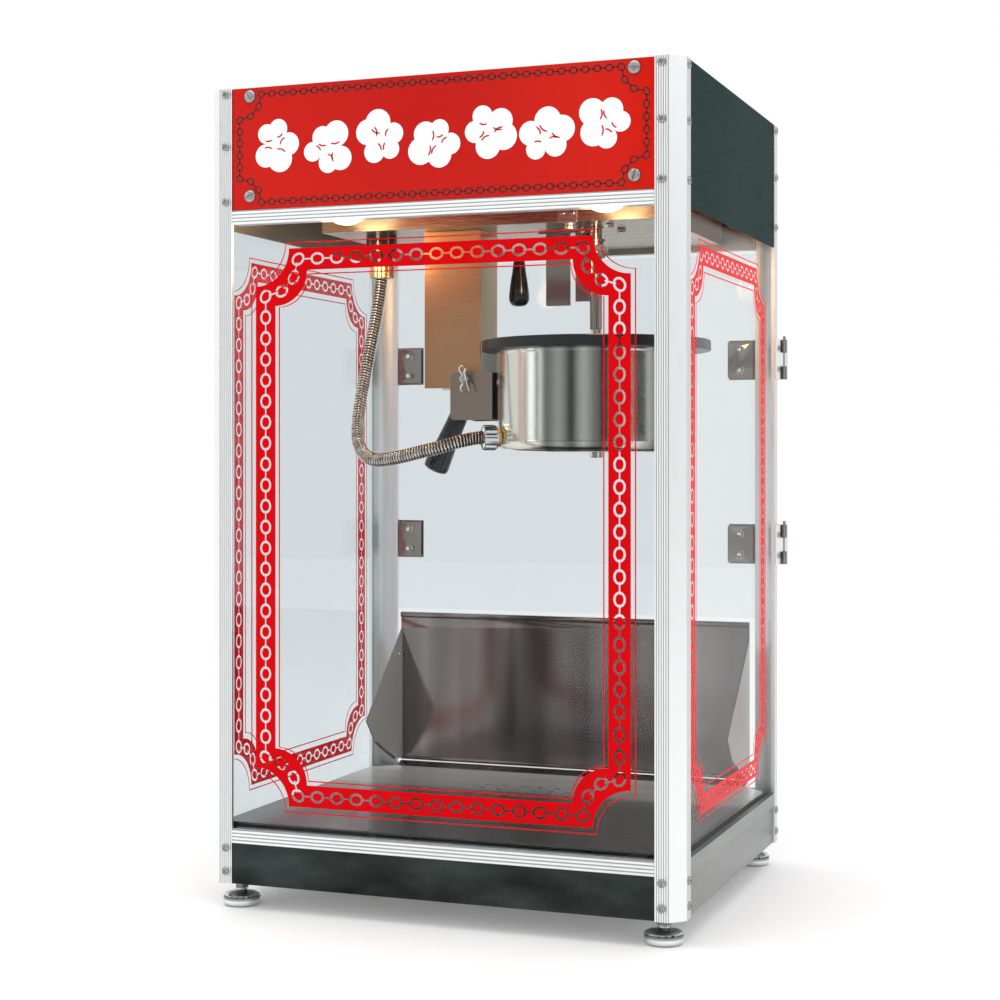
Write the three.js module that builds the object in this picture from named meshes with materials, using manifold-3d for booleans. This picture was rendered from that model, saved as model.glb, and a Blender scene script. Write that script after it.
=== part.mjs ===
// A countertop popcorn maker: an extruded aluminium cabinet with glass on three sides, a tipping
// kettle hung from the header, two rear doors, a tilting serving chute and a crumb drawer.
// Millimetres. +X to the right seen from the customer's side, +Y to the operator's side, +Z up.
// The origin is at the centre of the footprint, on the surface that the feet stand on.
import * as THREE from 'three';
import { mergeVertices } from 'three/addons/utils/BufferGeometryUtils.js';
import Module from 'manifold-3d';

const wasm = await Module();
wasm.setup();

// ---- Driving dimensions ----
const HALF_WIDTH = 254;
const FRONT = -220;            // outer plane of the frame on the customer's side
const BACK = 210;              // outer plane of the frame on the operator's side
const FOOT_HEIGHT = 26;
const TOP = 847;
const FLANGE = 14;             // each flange of a post, and the two legs of its chamfer
const POST_FACE = 2 * FLANGE;  // width that a post covers on each face
const WALL = 4;                // wall of the extrusions
const GAP = 0.3;               // between pieces that touch
const SHEET = 2;               // stainless sheet
const SKIRT_TOP = 68.5;
const SILL_TOP = 83;           // lower edge of the glass opening
const HEAD_BOTTOM = 706.5;     // upper edge of the glass opening
const HEAD_RAIL_TOP = 721;
const GLASS = 4;
const GLASS_INSET = 6;         // from the outer plane to the glass
const GLASS_BITE = 3.2;        // how far the glass sits in its groove
const RIB_COUNT = 6;
const RIB_DEPTH = 0.9;
const RAIL_DEPTH = 14;
const DECK_TOP = 88;
const BOX_HALF_WIDTH = 191;    // drive box in the header
const BOX_FRONT = -80;
const BOX_BACK = 190;
const BOX_BOTTOM = 712;
const BOX_TOP = 838;
const LAMP_X = 145;
const LAMP_Y = -115;
const LAMP_Z = 746;
const LAMP_R = 31;
const KETTLE_X = 106;
const KETTLE_Y = -25;
const KETTLE_R = 105.5;
const KETTLE_BOTTOM = 472;
const KETTLE_FLOOR = 484;
const KETTLE_TOP = 579;
const RIM_R = 122;
const RIM_TOP = 590.5;
const LID_SPLIT = 119.5;       // x of the lid flap's hinge
const PIVOT_X = -29;           // the kettle's tipping pin, along Y
const PIVOT_Z = 551.5;
const PIN_R = 4;
const SHAFT_R = 6.5;
const SHAFT_END = 603;         // lower end of the drive shaft, on the agitator's stub
const LEVER_X = 78;            // pin of the lift lever, along Y
const LEVER_Z = 689;
const DOOR_BOTTOM = 280;
const DOOR_TOP = 703;
const DOOR_Y = 206;
const DOOR_THICK = 5;
const HINGE_X = 258;           // pin of the door hinges, along Z
const HINGE_Y = 216.5;
const HINGE_Z = [366, 580];
const HINGE_HALF = 23;         // half of a hinge's height
const KNUCKLE_R = 3.5;
const CHUTE_HALF_WIDTH = 220;
const CHUTE_PIVOT_Y = 203;
const CHUTE_PIVOT_Z = 94;
const CHUTE_TOP = 272;
const DRAWER_HALF_WIDTH = 146;
const HANGER = { x0: -81, x1: -16, front: -52, rear: 0, bottom: 541.6 };
const YOKE = { front: -57, rear: 5, left: -49, right: -0.3, bottom: 506.6, top: 558 };
const HANDLE_TOP = { x: -50, z: 514 };
const HANDLE_END = { x: -80, z: 452 };
const HANDLE_R = 10.5;
const BOSS_REACH = 10;         // from the handle's top to where its stud starts
const STUD_R = 5;
const CONDUIT_R = 7.25;
const GLAND_X = -140;
const GLAND_Y = -34;
const CONNECTOR_ANGLE = 215;   // degrees about the kettle, from +X
const SWITCH_X = [30, 80, 130];
const SWITCH_Z = 784;
const ROCKER_TILT = 7;         // degrees from upright, at rest
const INLET_X = 150;
const INLET_Z = 784;

// ---- Materials ----
const metal = (color, roughness, metalness = 1) =>
  new THREE.MeshStandardMaterial({ color, roughness, metalness });
const aluminium = metal(0xd5dadb, 0.35);
const brushed = metal(0x8d918e, 0.35);
const darkBrushed = metal(0x4a4e4d, 0.4);
const polished = metal(0xc9c8c0, 0.15);
const chrome = metal(0xdadcdd, 0.08);
const darkRim = metal(0x3b3f40, 0.4, 0.6);
const black = new THREE.MeshStandardMaterial({ color: 0x151515, roughness: 0.25 });
const red = new THREE.MeshStandardMaterial({ color: 0xc8281c, roughness: 0.15 });
const clear = new THREE.MeshStandardMaterial({
  color: 0xe8f0f2, roughness: 0.03, transparent: true, opacity: 0.2 });
const lampGlass = new THREE.MeshStandardMaterial({
  color: 0xfff2d0, roughness: 0.4, emissive: 0xffe0a0 });
const ceramic = new THREE.MeshStandardMaterial({ color: 0xe9e6df, roughness: 0.5 });

// ---- Solids ----
const DEG = Math.PI / 180;

// Turns a closed geometry into a solid, with its faces outward.
function solid(geometry) {
  const bare = geometry.clone();
  bare.deleteAttribute('normal');
  bare.deleteAttribute('uv');
  const merged = mergeVertices(bare, 1e-4);
  const points = merged.attributes.position;
  const index = merged.index.array;
  const faces = [];
  let volume = 0;
  const a = new THREE.Vector3();
  const b = new THREE.Vector3();
  const c = new THREE.Vector3();
  for (let i = 0; i < index.length; i += 3) {
    const [p, q, r] = [index[i], index[i + 1], index[i + 2]];
    if (p === q || q === r || p === r) continue;
    faces.push([p, q, r]);
    a.fromBufferAttribute(points, p);
    b.fromBufferAttribute(points, q);
    c.fromBufferAttribute(points, r);
    volume += a.dot(b.cross(c));
  }
  const triVerts = new Uint32Array(faces.flatMap(([p, q, r]) => (volume < 0 ? [p, r, q] : [p, q, r])));
  const vertProperties = new Float32Array(points.array);
  return new wasm.Manifold(new wasm.Mesh({ numProp: 3, vertProperties, triVerts }));
}

const join = (...parts) => parts.reduce((whole, part) => whole.add(part));
const cut = (whole, ...tools) => tools.reduce((rest, tool) => rest.subtract(tool), whole);

function box(x0, x1, y0, y1, z0, z1) {
  const geometry = new THREE.BoxGeometry(x1 - x0, y1 - y0, z1 - z0);
  return solid(geometry.translate((x0 + x1) / 2, (y0 + y1) / 2, (z0 + z1) / 2));
}

// A round bar between two points.
function bar(from, to, radius, sides = 12, endRadius = radius) {
  const start = new THREE.Vector3(...from);
  const along = new THREE.Vector3(...to).sub(start);
  const geometry = new THREE.CylinderGeometry(endRadius, radius, along.length(), sides);
  geometry.translate(0, along.length() / 2, 0);
  const up = new THREE.Vector3(0, 1, 0);
  geometry.applyQuaternion(new THREE.Quaternion().setFromUnitVectors(up, along.normalize()));
  return solid(geometry.translate(...from));
}

// Extrudes an outline along one axis. Its points are (y, z), (x, z) or (x, y).
function prism(axis, outline, from, to) {
  const flat = axis === 'y' ? outline.map(([x, z]) => [z, x]) : outline;
  const shape = new THREE.Shape(flat.map(([u, v]) => new THREE.Vector2(u, v)));
  const geometry = new THREE.ExtrudeGeometry(shape, { depth: to - from, bevelEnabled: false });
  geometry.translate(0, 0, from);
  const [x, y, z] = [[1, 0, 0], [0, 1, 0], [0, 0, 1]].map((v) => new THREE.Vector3(...v));
  const basis = { x: [y, z, x], y: [z, x, y], z: [x, y, z] }[axis];
  return solid(geometry.applyMatrix4(new THREE.Matrix4().makeBasis(...basis)));
}

// Turns a profile of (radius, height) about a vertical axis.
function turned(profile, x, y, sides = 48) {
  const points = profile.map(([r, z]) => new THREE.Vector2(r, z));
  const geometry = new THREE.LatheGeometry(points, sides);
  return solid(geometry.rotateX(Math.PI / 2).translate(x, y, 0));
}

// The footprint of a plate that lies inside the frame, with its corners cut as the posts are.
function footprint(inset) {
  const corner = FLANGE + inset * (Math.SQRT2 - 1) * Math.SQRT2;
  const x = HALF_WIDTH - inset;
  const y0 = FRONT + inset;
  const y1 = BACK - inset;
  return [[-x + corner, y0], [x - corner, y0], [x, y0 + corner], [x, y1 - corner],
    [x - corner, y1], [-x + corner, y1], [-x, y1 - corner], [-x, y0 + corner]];
}

// One ribbed face from 0 to the given width: points (along, depth).
function ribs(width, count = RIB_COUNT) {
  const pitch = width / count;
  const points = [];
  for (let i = 0; i < count; i += 1) {
    const start = i * pitch;
    points.push([start, 0], [start + pitch * 0.62, 0], [start + pitch * 0.81, RIB_DEPTH]);
  }
  return points;
}

// ---- The object ----
const popcornMaker = new THREE.Group();

function piece(name, body, material, place = {}) {
  const mesh = body.getMesh();
  const geometry = new THREE.BufferGeometry();
  geometry.setAttribute('position', new THREE.BufferAttribute(mesh.vertProperties, 3));
  geometry.setIndex(new THREE.BufferAttribute(mesh.triVerts, 1));
  geometry.computeVertexNormals();
  const part = new THREE.Mesh(geometry, material);
  part.name = name;
  if (place.position) part.position.set(...place.position);
  if (place.turnX) part.rotation.x = place.turnX;
  popcornMaker.add(part);
}

// ---- Frame ----

// Section of a corner post as distances in from the side face and from the front or rear face.
function postSection() {
  const flange = ribs(FLANGE).map(([along, depth]) => [POST_FACE - along, depth]);
  const side = flange.map(([u, v]) => [v, u]).reverse();
  const inner = FLANGE + WALL * (Math.SQRT2 - 1);
  return [...flange, [FLANGE, 0], [0, FLANGE], ...side,
    [WALL, POST_FACE], [WALL, inner], [inner, WALL], [POST_FACE, WALL]];
}

// Screwed plate and middle knuckle of each door hinge, on the rear post.
function frameHinge(side, z) {
  const knuckle = HINGE_HALF / 3;
  const x0 = HALF_WIDTH - 0.5;
  const plate = box(x0, HALF_WIDTH + 2, BACK - POST_FACE, BACK - 6, z - HINGE_HALF, z + HINGE_HALF);
  const neck = box(x0 + 1, HALF_WIDTH + 3, BACK - 7, HINGE_Y, z - knuckle, z + knuckle);
  const barrel = bar([HINGE_X, HINGE_Y, z - knuckle], [HINGE_X, HINGE_Y, z + knuckle], KNUCKLE_R);
  const bore = bar([HINGE_X, HINGE_Y, z - 30], [HINGE_X, HINGE_Y, z + 30], KNUCKLE_R - 1.5);
  const whole = cut(join(plate, neck, barrel), bore);
  return side > 0 ? whole : whole.mirror([1, 0, 0]);
}

function posts() {
  for (const [end, plane, inward] of [['front', FRONT, 1], ['rear', BACK, -1]]) {
    for (const [label, side] of [['left', -1], ['right', 1]]) {
      const outline = postSection().map(([u, v]) => [side * (HALF_WIDTH - u), plane + inward * v]);
      let post = prism('z', outline, FOOT_HEIGHT, TOP);
      if (end === 'rear') {
        for (const z of HINGE_Z) post = join(post, frameHinge(side, z));
      }
      piece(`post_${end}_${label}`, post, aluminium);
    }
  }
}

// Ribbed rail between two posts, with a groove for the glass in its inner edge.
function railSection(z0, z1, grooveUp) {
  const height = z1 - z0;
  const face = ribs(height, 4).map(([along, depth]) => [depth, z0 + along]);
  const near = GLASS_INSET - GAP;
  const far = GLASS_INSET + GLASS + GAP;
  const edge = grooveUp ? z1 : z0;
  const bottom = grooveUp ? z1 - GLASS_BITE - GAP : z0 + GLASS_BITE + GAP;
  const groove = [[near, edge], [near, bottom], [far, bottom], [far, edge]];
  const top = grooveUp ? [[0, z1], ...groove, [RAIL_DEPTH, z1]] : [[0, z1], [RAIL_DEPTH, z1]];
  const under = grooveUp ? [[RAIL_DEPTH, z0]] : [[RAIL_DEPTH, z0], ...groove.reverse()];
  return [...face, ...top, ...under];
}

function rails() {
  const reach = HALF_WIDTH - POST_FACE - GAP;
  const tiers = [['lower', SKIRT_TOP + GAP, SILL_TOP, true],
    ['upper', HEAD_BOTTOM, HEAD_RAIL_TOP - GAP, false]];
  for (const [tier, z0, z1, grooveUp] of tiers) {
    const section = railSection(z0, z1, grooveUp);
    const front = section.map(([v, z]) => [FRONT + v, z]);
    const rear = section.map(([v, z]) => [BACK - v, z]);
    piece(`rail_front_${tier}`, prism('x', front, -reach, reach), aluminium);
    piece(`rail_rear_${tier}`, prism('x', rear, -reach, reach), aluminium);
  }
}

// Side sill: a recessed skirt with a plain rail folded in its upper edge to hold the glass.
function sideSills() {
  const from = FRONT + POST_FACE + GAP;
  const to = BACK - POST_FACE - GAP;
  const near = GLASS_INSET - GAP;
  const far = GLASS_INSET + GLASS + GAP;
  const bottom = SILL_TOP - GLASS_BITE - GAP;
  const section = [[0, SKIRT_TOP], [0, SILL_TOP], [near, SILL_TOP], [near, bottom], [far, bottom],
    [far, SILL_TOP], [RAIL_DEPTH, SILL_TOP], [RAIL_DEPTH, SKIRT_TOP], [2 + SHEET, SKIRT_TOP],
    [2 + SHEET, FOOT_HEIGHT + 0.5], [2, FOOT_HEIGHT + 0.5], [2, SKIRT_TOP]];
  for (const [label, side] of [['left', -1], ['right', 1]]) {
    const outline = section.map(([u, z]) => [side * (HALF_WIDTH - u), z]);
    piece(`sill_${label}`, prism('y', outline, from, to), brushed);
  }
}

function skirts() {
  const reach = HALF_WIDTH - POST_FACE - GAP;
  const z0 = FOOT_HEIGHT + 0.5;
  const front = box(-reach, reach, FRONT + 1, FRONT + 1 + SHEET, z0, SKIRT_TOP);
  piece('skirt_front', front, darkBrushed);
  const rear = box(-reach, reach, BACK - 1 - SHEET, BACK - 1, z0, SKIRT_TOP);
  const mouth = box(-DRAWER_HALF_WIDTH - 1, DRAWER_HALF_WIDTH + 1, BACK - 10, BACK + 10, 31, 64);
  piece('skirt_rear', cut(rear, mouth), brushed);
}

function feet() {
  const profile = [[0, 0], [15, 0], [18.4, 1.6], [19.25, 3.2], [19.25, 10.4], [18, 12.4], [13, 14.6],
    [7, 15.4], [6, 16.5], [6, FOOT_HEIGHT + 0.5], [0, FOOT_HEIGHT + 0.5]];
  const spot = 26;
  for (const [end, y] of [['front', FRONT + spot], ['rear', BACK - spot]]) {
    for (const [label, side] of [['left', -1], ['right', 1]]) {
      piece(`foot_${end}_${label}`, turned(profile, side * (HALF_WIDTH - spot), y, 18), chrome);
    }
  }
}

// Base plate that the feet screw into, and the deck with its crumb holes.
function floors() {
  const plate = prism('z', footprint(WALL + GAP + 0.2), 27, 28.5);
  const runners = [-110, 110].map((x) => box(x - 8, x + 8, -40, 200, 28, 31.7));
  piece('base_plate', join(plate, ...runners), brushed);
  const edge = HALF_WIDTH - WALL - 6;
  let deck = prism('z', [[-edge, FRONT + 15], [edge, FRONT + 15], [edge, 160], [210, 192],
    [-210, 192], [-edge, 160]], DECK_TOP - SHEET, DECK_TOP);
  const pitch = 21;
  for (let row = 0; row < 4; row += 1) {
    for (let column = -3; column <= 3; column += 1) {
      const [x, y] = [column * pitch, 32 + row * pitch];
      deck = cut(deck, bar([x, y, DECK_TOP - 9], [x, y, DECK_TOP + 9], 4.5, 8));
    }
  }
  piece('deck', deck, darkBrushed);
}

function glass() {
  const z0 = SILL_TOP - GLASS_BITE;
  const z1 = HEAD_BOTTOM + GLASS_BITE;
  const front = FRONT + GLASS_INSET;
  const reach = HALF_WIDTH - POST_FACE + 8;
  piece('glass_front', box(-reach, reach, front, front + GLASS, z0, z1), clear);
  for (const [label, side] of [['left', -1], ['right', 1]]) {
    const outer = side * (HALF_WIDTH - GLASS_INSET);
    const inner = outer - side * GLASS;
    const pane = box(Math.min(outer, inner), Math.max(outer, inner),
      FRONT + POST_FACE - 8, BACK - POST_FACE + 8, z0, z1 + 4);
    piece(`glass_${label}`, pane, clear);
  }
}

// ---- Header ----
function header() {
  const reach = HALF_WIDTH - POST_FACE - GAP;
  const sign = box(-reach, reach, FRONT + 2, FRONT + 5, HEAD_RAIL_TOP, TOP - GAP);
  piece('sign_panel', sign, red);
  const from = FRONT + POST_FACE + GAP;
  const to = BACK - POST_FACE - GAP;
  for (const [label, side] of [['left', -1], ['right', 1]]) {
    const section = [[0.5, HEAD_BOTTOM], [0.5, TOP], [10, TOP], [10, TOP - SHEET],
      [0.5 + SHEET, TOP - SHEET], [0.5 + SHEET, HEAD_BOTTOM]];
    const outline = section.map(([u, z]) => [side * (HALF_WIDTH - u), z]);
    piece(`header_${label}`, prism('y', outline, from, to), darkBrushed);
  }
  let rear = box(-reach, reach, BACK - 3 - SHEET, BACK - 3, HEAD_RAIL_TOP, TOP - GAP);
  for (const x of SWITCH_X) {
    rear = cut(rear, box(x - 14, x + 14, BACK - 20, BACK + 20, SWITCH_Z - 11, SWITCH_Z + 11));
  }
  rear = cut(rear, box(-INLET_X - 15, -INLET_X + 15, BACK - 20, BACK + 20, INLET_Z - 11, INLET_Z + 11));
  piece('header_rear', rear, brushed);
  piece('roof', prism('z', footprint(WALL + 1.5), 842.5, 844.5), brushed);
}

function driveBox() {
  const [w, y0, y1, z0] = [BOX_HALF_WIDTH, BOX_FRONT, BOX_BACK, BOX_BOTTOM];
  const shell = box(-w, w, y0, y1, z0, BOX_TOP);
  const inside = box(-w + SHEET, w - SHEET, y0 + SHEET, y1 - SHEET, z0 + SHEET, BOX_TOP + 1);
  const shaftHole = bar([KETTLE_X, KETTLE_Y, z0 - 5], [KETTLE_X, KETTLE_Y, z0 + 9], SHAFT_R + 2.5);
  const leadHole = bar([GLAND_X, GLAND_Y, z0 - 5], [GLAND_X, GLAND_Y, z0 + 9], 9);
  piece('drive_box', cut(shell, inside, shaftHole, leadHole), brushed);
}

function gearMotor() {
  const z0 = BOX_BOTTOM + SHEET + GAP;
  const [x, y] = [KETTLE_X, KETTLE_Y];
  const gears = box(x - 38, x + 38, y - 40, y + 40, z0, 776);
  const bore = bar([x, y, z0 - 5], [x, y, 790], SHAFT_R + 1, 20);
  const motor = bar([x, y + 38, 748], [x, y + 150, 748], 31, 28);
  piece('gear_motor', join(cut(gears, bore), motor), darkBrushed);
}

function lamps() {
  for (const [label, side] of [['left', -1], ['right', 1]]) {
    const globe = [[0, LAMP_Z - LAMP_R]];
    for (let step = 1; step <= 8; step += 1) {
      const angle = -90 + step * 17;
      globe.push([LAMP_R * Math.cos(angle * DEG), LAMP_Z + LAMP_R * Math.sin(angle * DEG)]);
    }
    globe.push([13, LAMP_Z + 38], [13, LAMP_Z + 48], [0, LAMP_Z + 48]);
    piece(`bulb_${label}`, turned(globe, side * LAMP_X, LAMP_Y, 18), lampGlass);
    const holder = [[0, LAMP_Z + 48.3], [13.3, LAMP_Z + 48.3], [13.3, LAMP_Z + 40], [17, LAMP_Z + 40],
      [19, LAMP_Z + 60], [19, LAMP_Z + 78], [28, LAMP_Z + 80], [28, 842.2], [0, 842.2]];
    piece(`lamp_holder_${label}`, turned(holder, side * LAMP_X, LAMP_Y, 16), ceramic);
  }
}

// Power inlet and three rocker switches on the operator's side of the header.
function controls() {
  const [x, y, z] = [-INLET_X, BACK - 3, INLET_Z];
  const flange = box(x - 20, x + 20, y + GAP, y + 3, z - 16, z + 16);
  const body = box(x - 14.5, x + 14.5, y - 14, y + 1, z - 10.5, z + 10.5);
  const socket = box(x - 11, x + 11, y - 12, y + 9, z - 7, z + 7);
  piece('power_inlet', cut(join(flange, body), socket), black);
  const rocker = [[-9, -7], [-9, 7], [6.5, 9], [6.5, 8.6], [5, 0], [6.5, -8.6], [6.5, -9]];
  ['heat', 'motor', 'lights'].forEach((name, i) => {
    const body = prism('x', rocker, -12.5, 12.5);
    const place = { position: [SWITCH_X[i], BACK - 4, SWITCH_Z], turnX: ROCKER_TILT * DEG };
    piece(`switch_${name}`, body, name === 'lights' ? red : black, place);
  });
}

// ---- Kettle, its hanger and its drive ----

// Clearance hole for the tipping pin, through the hanger and the yoke.
function pinBore() {
  return bar([PIVOT_X, YOKE.front - 3, PIVOT_Z], [PIVOT_X, YOKE.rear + 5, PIVOT_Z], PIN_R + GAP);
}

// U-shaped hanger: two side plates with a web between them near the top.
function hanger() {
  const { x0, x1, front, rear, bottom } = HANGER;
  const top = BOX_BOTTOM - GAP;
  const webBottom = 600;
  const frontPlate = box(x0, x1, front, front + SHEET, bottom, top);
  const rearPlate = box(x0, x1, rear - SHEET, rear, bottom, top);
  const web = box(x0, x0 + SHEET, front, rear, webBottom, top);
  const cap = box(x0, x1, front, rear, top - SHEET, top);
  piece('kettle_hanger', cut(join(frontPlate, rearPlate, web, cap), pinBore()), brushed);
}

function kettle() {
  const drum = [[0, KETTLE_BOTTOM], [94, KETTLE_BOTTOM], [101, KETTLE_BOTTOM + 2],
    [104.5, KETTLE_BOTTOM + 6], [KETTLE_R, KETTLE_BOTTOM + 12], [KETTLE_R, KETTLE_TOP],
    [KETTLE_R - 2, KETTLE_TOP], [KETTLE_R - 2, KETTLE_FLOOR + 6], [96, KETTLE_FLOOR], [0, KETTLE_FLOOR]];
  const nut = bar([KETTLE_X, KETTLE_Y, KETTLE_BOTTOM - 6], [KETTLE_X, KETTLE_Y, 473], 8, 6);
  piece('kettle_drum', join(turned(drum, KETTLE_X, KETTLE_Y, 44), nut), polished);

  const ring = [[KETTLE_R - 5, KETTLE_TOP + GAP], [RIM_R, KETTLE_TOP + GAP], [RIM_R, RIM_TOP],
    [RIM_R - 6, RIM_TOP], [RIM_R - 6, RIM_TOP - 2.6], [KETTLE_R - 5, RIM_TOP - 2.6],
    [KETTLE_R - 5, KETTLE_TOP + GAP]];
  const disc = [[0, RIM_TOP - 2.6], [RIM_R - 1, RIM_TOP - 2.6], [RIM_R - 1, RIM_TOP], [0, RIM_TOP]];
  const right = box(LID_SPLIT - 0.5, 300, -200, 200, 500, 700);
  const hole = bar([KETTLE_X, KETTLE_Y, 580], [KETTLE_X, KETTLE_Y, 600], 11, 24);
  const half = cut(turned(disc, KETTLE_X, KETTLE_Y, 44), right, hole);
  const lid = join(turned(ring, KETTLE_X, KETTLE_Y, 44), half);
  piece('kettle_lid', lid, darkRim);

  const leaf = [[0, RIM_TOP - 2.2], [RIM_R - 6.4, RIM_TOP - 2.2], [RIM_R - 6.4, RIM_TOP], [0, RIM_TOP]];
  const left = box(-300, LID_SPLIT + 0.5, -200, 200, 500, 700);
  const grip = bar([KETTLE_X + 96, KETTLE_Y, RIM_TOP - 1], [KETTLE_X + 96, KETTLE_Y, RIM_TOP + 14], 5, 12, 7);
  piece('lid_flap', join(cut(turned(leaf, KETTLE_X, KETTLE_Y, 44), left), grip), darkRim);
}

// Yoke that carries the kettle on its pin, the pin and the dump handle.
function yoke() {
  const { front, rear, left, right, bottom, top } = YOKE;
  const middle = (front + rear) / 2;
  const outline = [[left + 5, bottom], [right, bottom], [right, top], [left + 6, top], [left + 1.8, top - 1.8],
    [left, top - 6], [left, bottom + 5], [left + 1.5, bottom + 1.4]];
  const plates = join(prism('y', outline, front, front + SHEET), prism('y', outline, rear - SHEET, rear));
  const flange = box(right - SHEET, right, front, rear, bottom, top);
  const bossEnd = HANDLE_TOP.x + BOSS_REACH;
  const stud = bar([right - 1, middle, HANDLE_TOP.z], [bossEnd + GAP, middle, HANDLE_TOP.z], STUD_R);
  piece('kettle_yoke', cut(join(plates, flange, stud), pinBore()), brushed);

  const shank = bar([PIVOT_X, front - 9, PIVOT_Z], [PIVOT_X, rear + 2, PIVOT_Z], PIN_R);
  const head = bar([PIVOT_X, rear + GAP, PIVOT_Z], [PIVOT_X, rear + PIN_R, PIVOT_Z], 7, 6);
  piece('pivot_pin', join(shank, head), chrome);

  const start = [HANDLE_TOP.x, middle, HANDLE_TOP.z];
  const grip = bar(start, [HANDLE_END.x, middle, HANDLE_END.z], HANDLE_R, 24, HANDLE_R * 4 / 3);
  const boss = bar(start, [bossEnd, middle, HANDLE_TOP.z], 7);
  piece('dump_handle', join(grip, boss), black);
}

// Where the supply lead enters the kettle's side.
function connector() {
  const [dx, dy] = [Math.cos(CONNECTOR_ANGLE * DEG), Math.sin(CONNECTOR_ANGLE * DEG)];
  const at = (r, z = 487.2) => [KETTLE_X + dx * r, KETTLE_Y + dy * r, z];
  const body = join(bar(at(100), at(113), 10, 20), bar(at(112), at(124.8), 13.5, 24));
  const drum = bar([KETTLE_X, KETTLE_Y, 400], [KETTLE_X, KETTLE_Y, 600], KETTLE_R + GAP, 44);
  piece('kettle_connector', cut(body, drum), chrome);
}

function agitator() {
  const [x, y] = [KETTLE_X, KETTLE_Y];
  const low = KETTLE_FLOOR + 2;
  const high = low + 5;
  const arms = join(box(x - 90, x + 90, y - 6, y + 6, low, high), box(x - 6, x + 6, y - 60, y + 60, low, high));
  const hub = bar([x, y, low - 1], [x, y, low + 16], 13, 20);
  const stub = bar([x, y, low + 14], [x, y, SHAFT_END - 0.4], SHAFT_R - 0.5, 20);
  piece('agitator', join(arms, hub, stub), polished);
}

function drive() {
  const [x, y] = [KETTLE_X, KETTLE_Y];
  piece('drive_shaft', bar([x, y, SHAFT_END], [x, y, 760], SHAFT_R, 24), polished);
  const spool = [[SHAFT_R + GAP, 679], [10, 679], [10, 682], [8, 682], [8, 696], [10, 696], [10, 699],
    [SHAFT_R + GAP, 699], [SHAFT_R + GAP, 679]];
  piece('lift_collar', turned(spool, x, y, 16), chrome);
}

// Bracket under the drive box with two hanging tabs, and the lever that lifts the drive shaft.
function lift() {
  const top = BOX_BOTTOM - GAP;
  const flat = box(34, 98, -6, 7, top - 2, top);
  const tabs = [box(39, 67, 5, 7, 632, top), box(73, 96, 5, 7, 636, top)];
  const bore = bar([LEVER_X, 0, LEVER_Z], [LEVER_X, 12, LEVER_Z], 3 + GAP);
  piece('lift_bracket', cut(join(flat, ...tabs), bore), brushed);

  const [low, high] = [LEVER_Z - 3, LEVER_Z + 3];
  const arm = box(6, 92, -3, 1, low, high);
  const cross = box(88, 92, KETTLE_Y - 12, 1, low, high);
  const prongs = [box(90, 116, KETTLE_Y - 12, KETTLE_Y - 8.6, low, high),
    box(90, 116, KETTLE_Y + 8.6, KETTLE_Y + 12, low, high)];
  const pin = bar([LEVER_X, 0, LEVER_Z], [LEVER_X, 8.5, LEVER_Z], 3);
  piece('lift_lever', join(arm, cross, ...prongs, pin), brushed);
  const knob = [[0, 632], [7, 633], [10.5, 637], [11.3, 642], [9, 664], [7, 670], [6.5, 678],
    [4, 685.6], [0, 685.6]];
  piece('lever_knob', turned(knob, 10, -1, 16), black);
}

function supplyLead() {
  const ring = [[CONDUIT_R + 1, 664], [13.5, 664], [13.5, 678], [12, 680], [12, 690], [17, 692],
    [17, 711.7], [CONDUIT_R + 1, 711.7], [CONDUIT_R + 1, 664]];
  piece('conduit_gland', turned(ring, GLAND_X, GLAND_Y, 16), chrome);
  const route = [[-140, -34, 711], [-140, -34, 690], [-140.3, -34, 664.7], [-142.2, -35, 646.5],
    [-145.6, -39, 616.4], [-149, -47, 582.9], [-150.6, -58, 549.4], [-149.9, -71, 520.5],
    [-146.7, -83, 498.4], [-140.9, -93, 481.5], [-129.6, -101, 469.1], [-114.6, -107, 463.9],
    [-96.6, -112, 464.8], [-76.4, -116, 468.1], [-54.9, -118, 472.8], [-34.7, -117.5, 477.5],
    [-18.6, -112.2, 482.5], [-6.5, -103.8, 485.8], [2.4, -97.5, 487.2]];
  const curve = new THREE.CatmullRomCurve3(route.map((point) => new THREE.Vector3(...point)));
  const sides = 8;
  const ringPoints = Array.from({ length: sides }, (_, i) => {
    const angle = (i + 0.5) * 2 * Math.PI / sides;
    return new THREE.Vector2(CONDUIT_R * Math.cos(angle), CONDUIT_R * Math.sin(angle));
  });
  const tube = new THREE.ExtrudeGeometry(new THREE.Shape(ringPoints),
    { extrudePath: curve, steps: 56, bevelEnabled: false });
  piece('conduit', solid(tube), polished);
}

// ---- Operator's side ----

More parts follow.
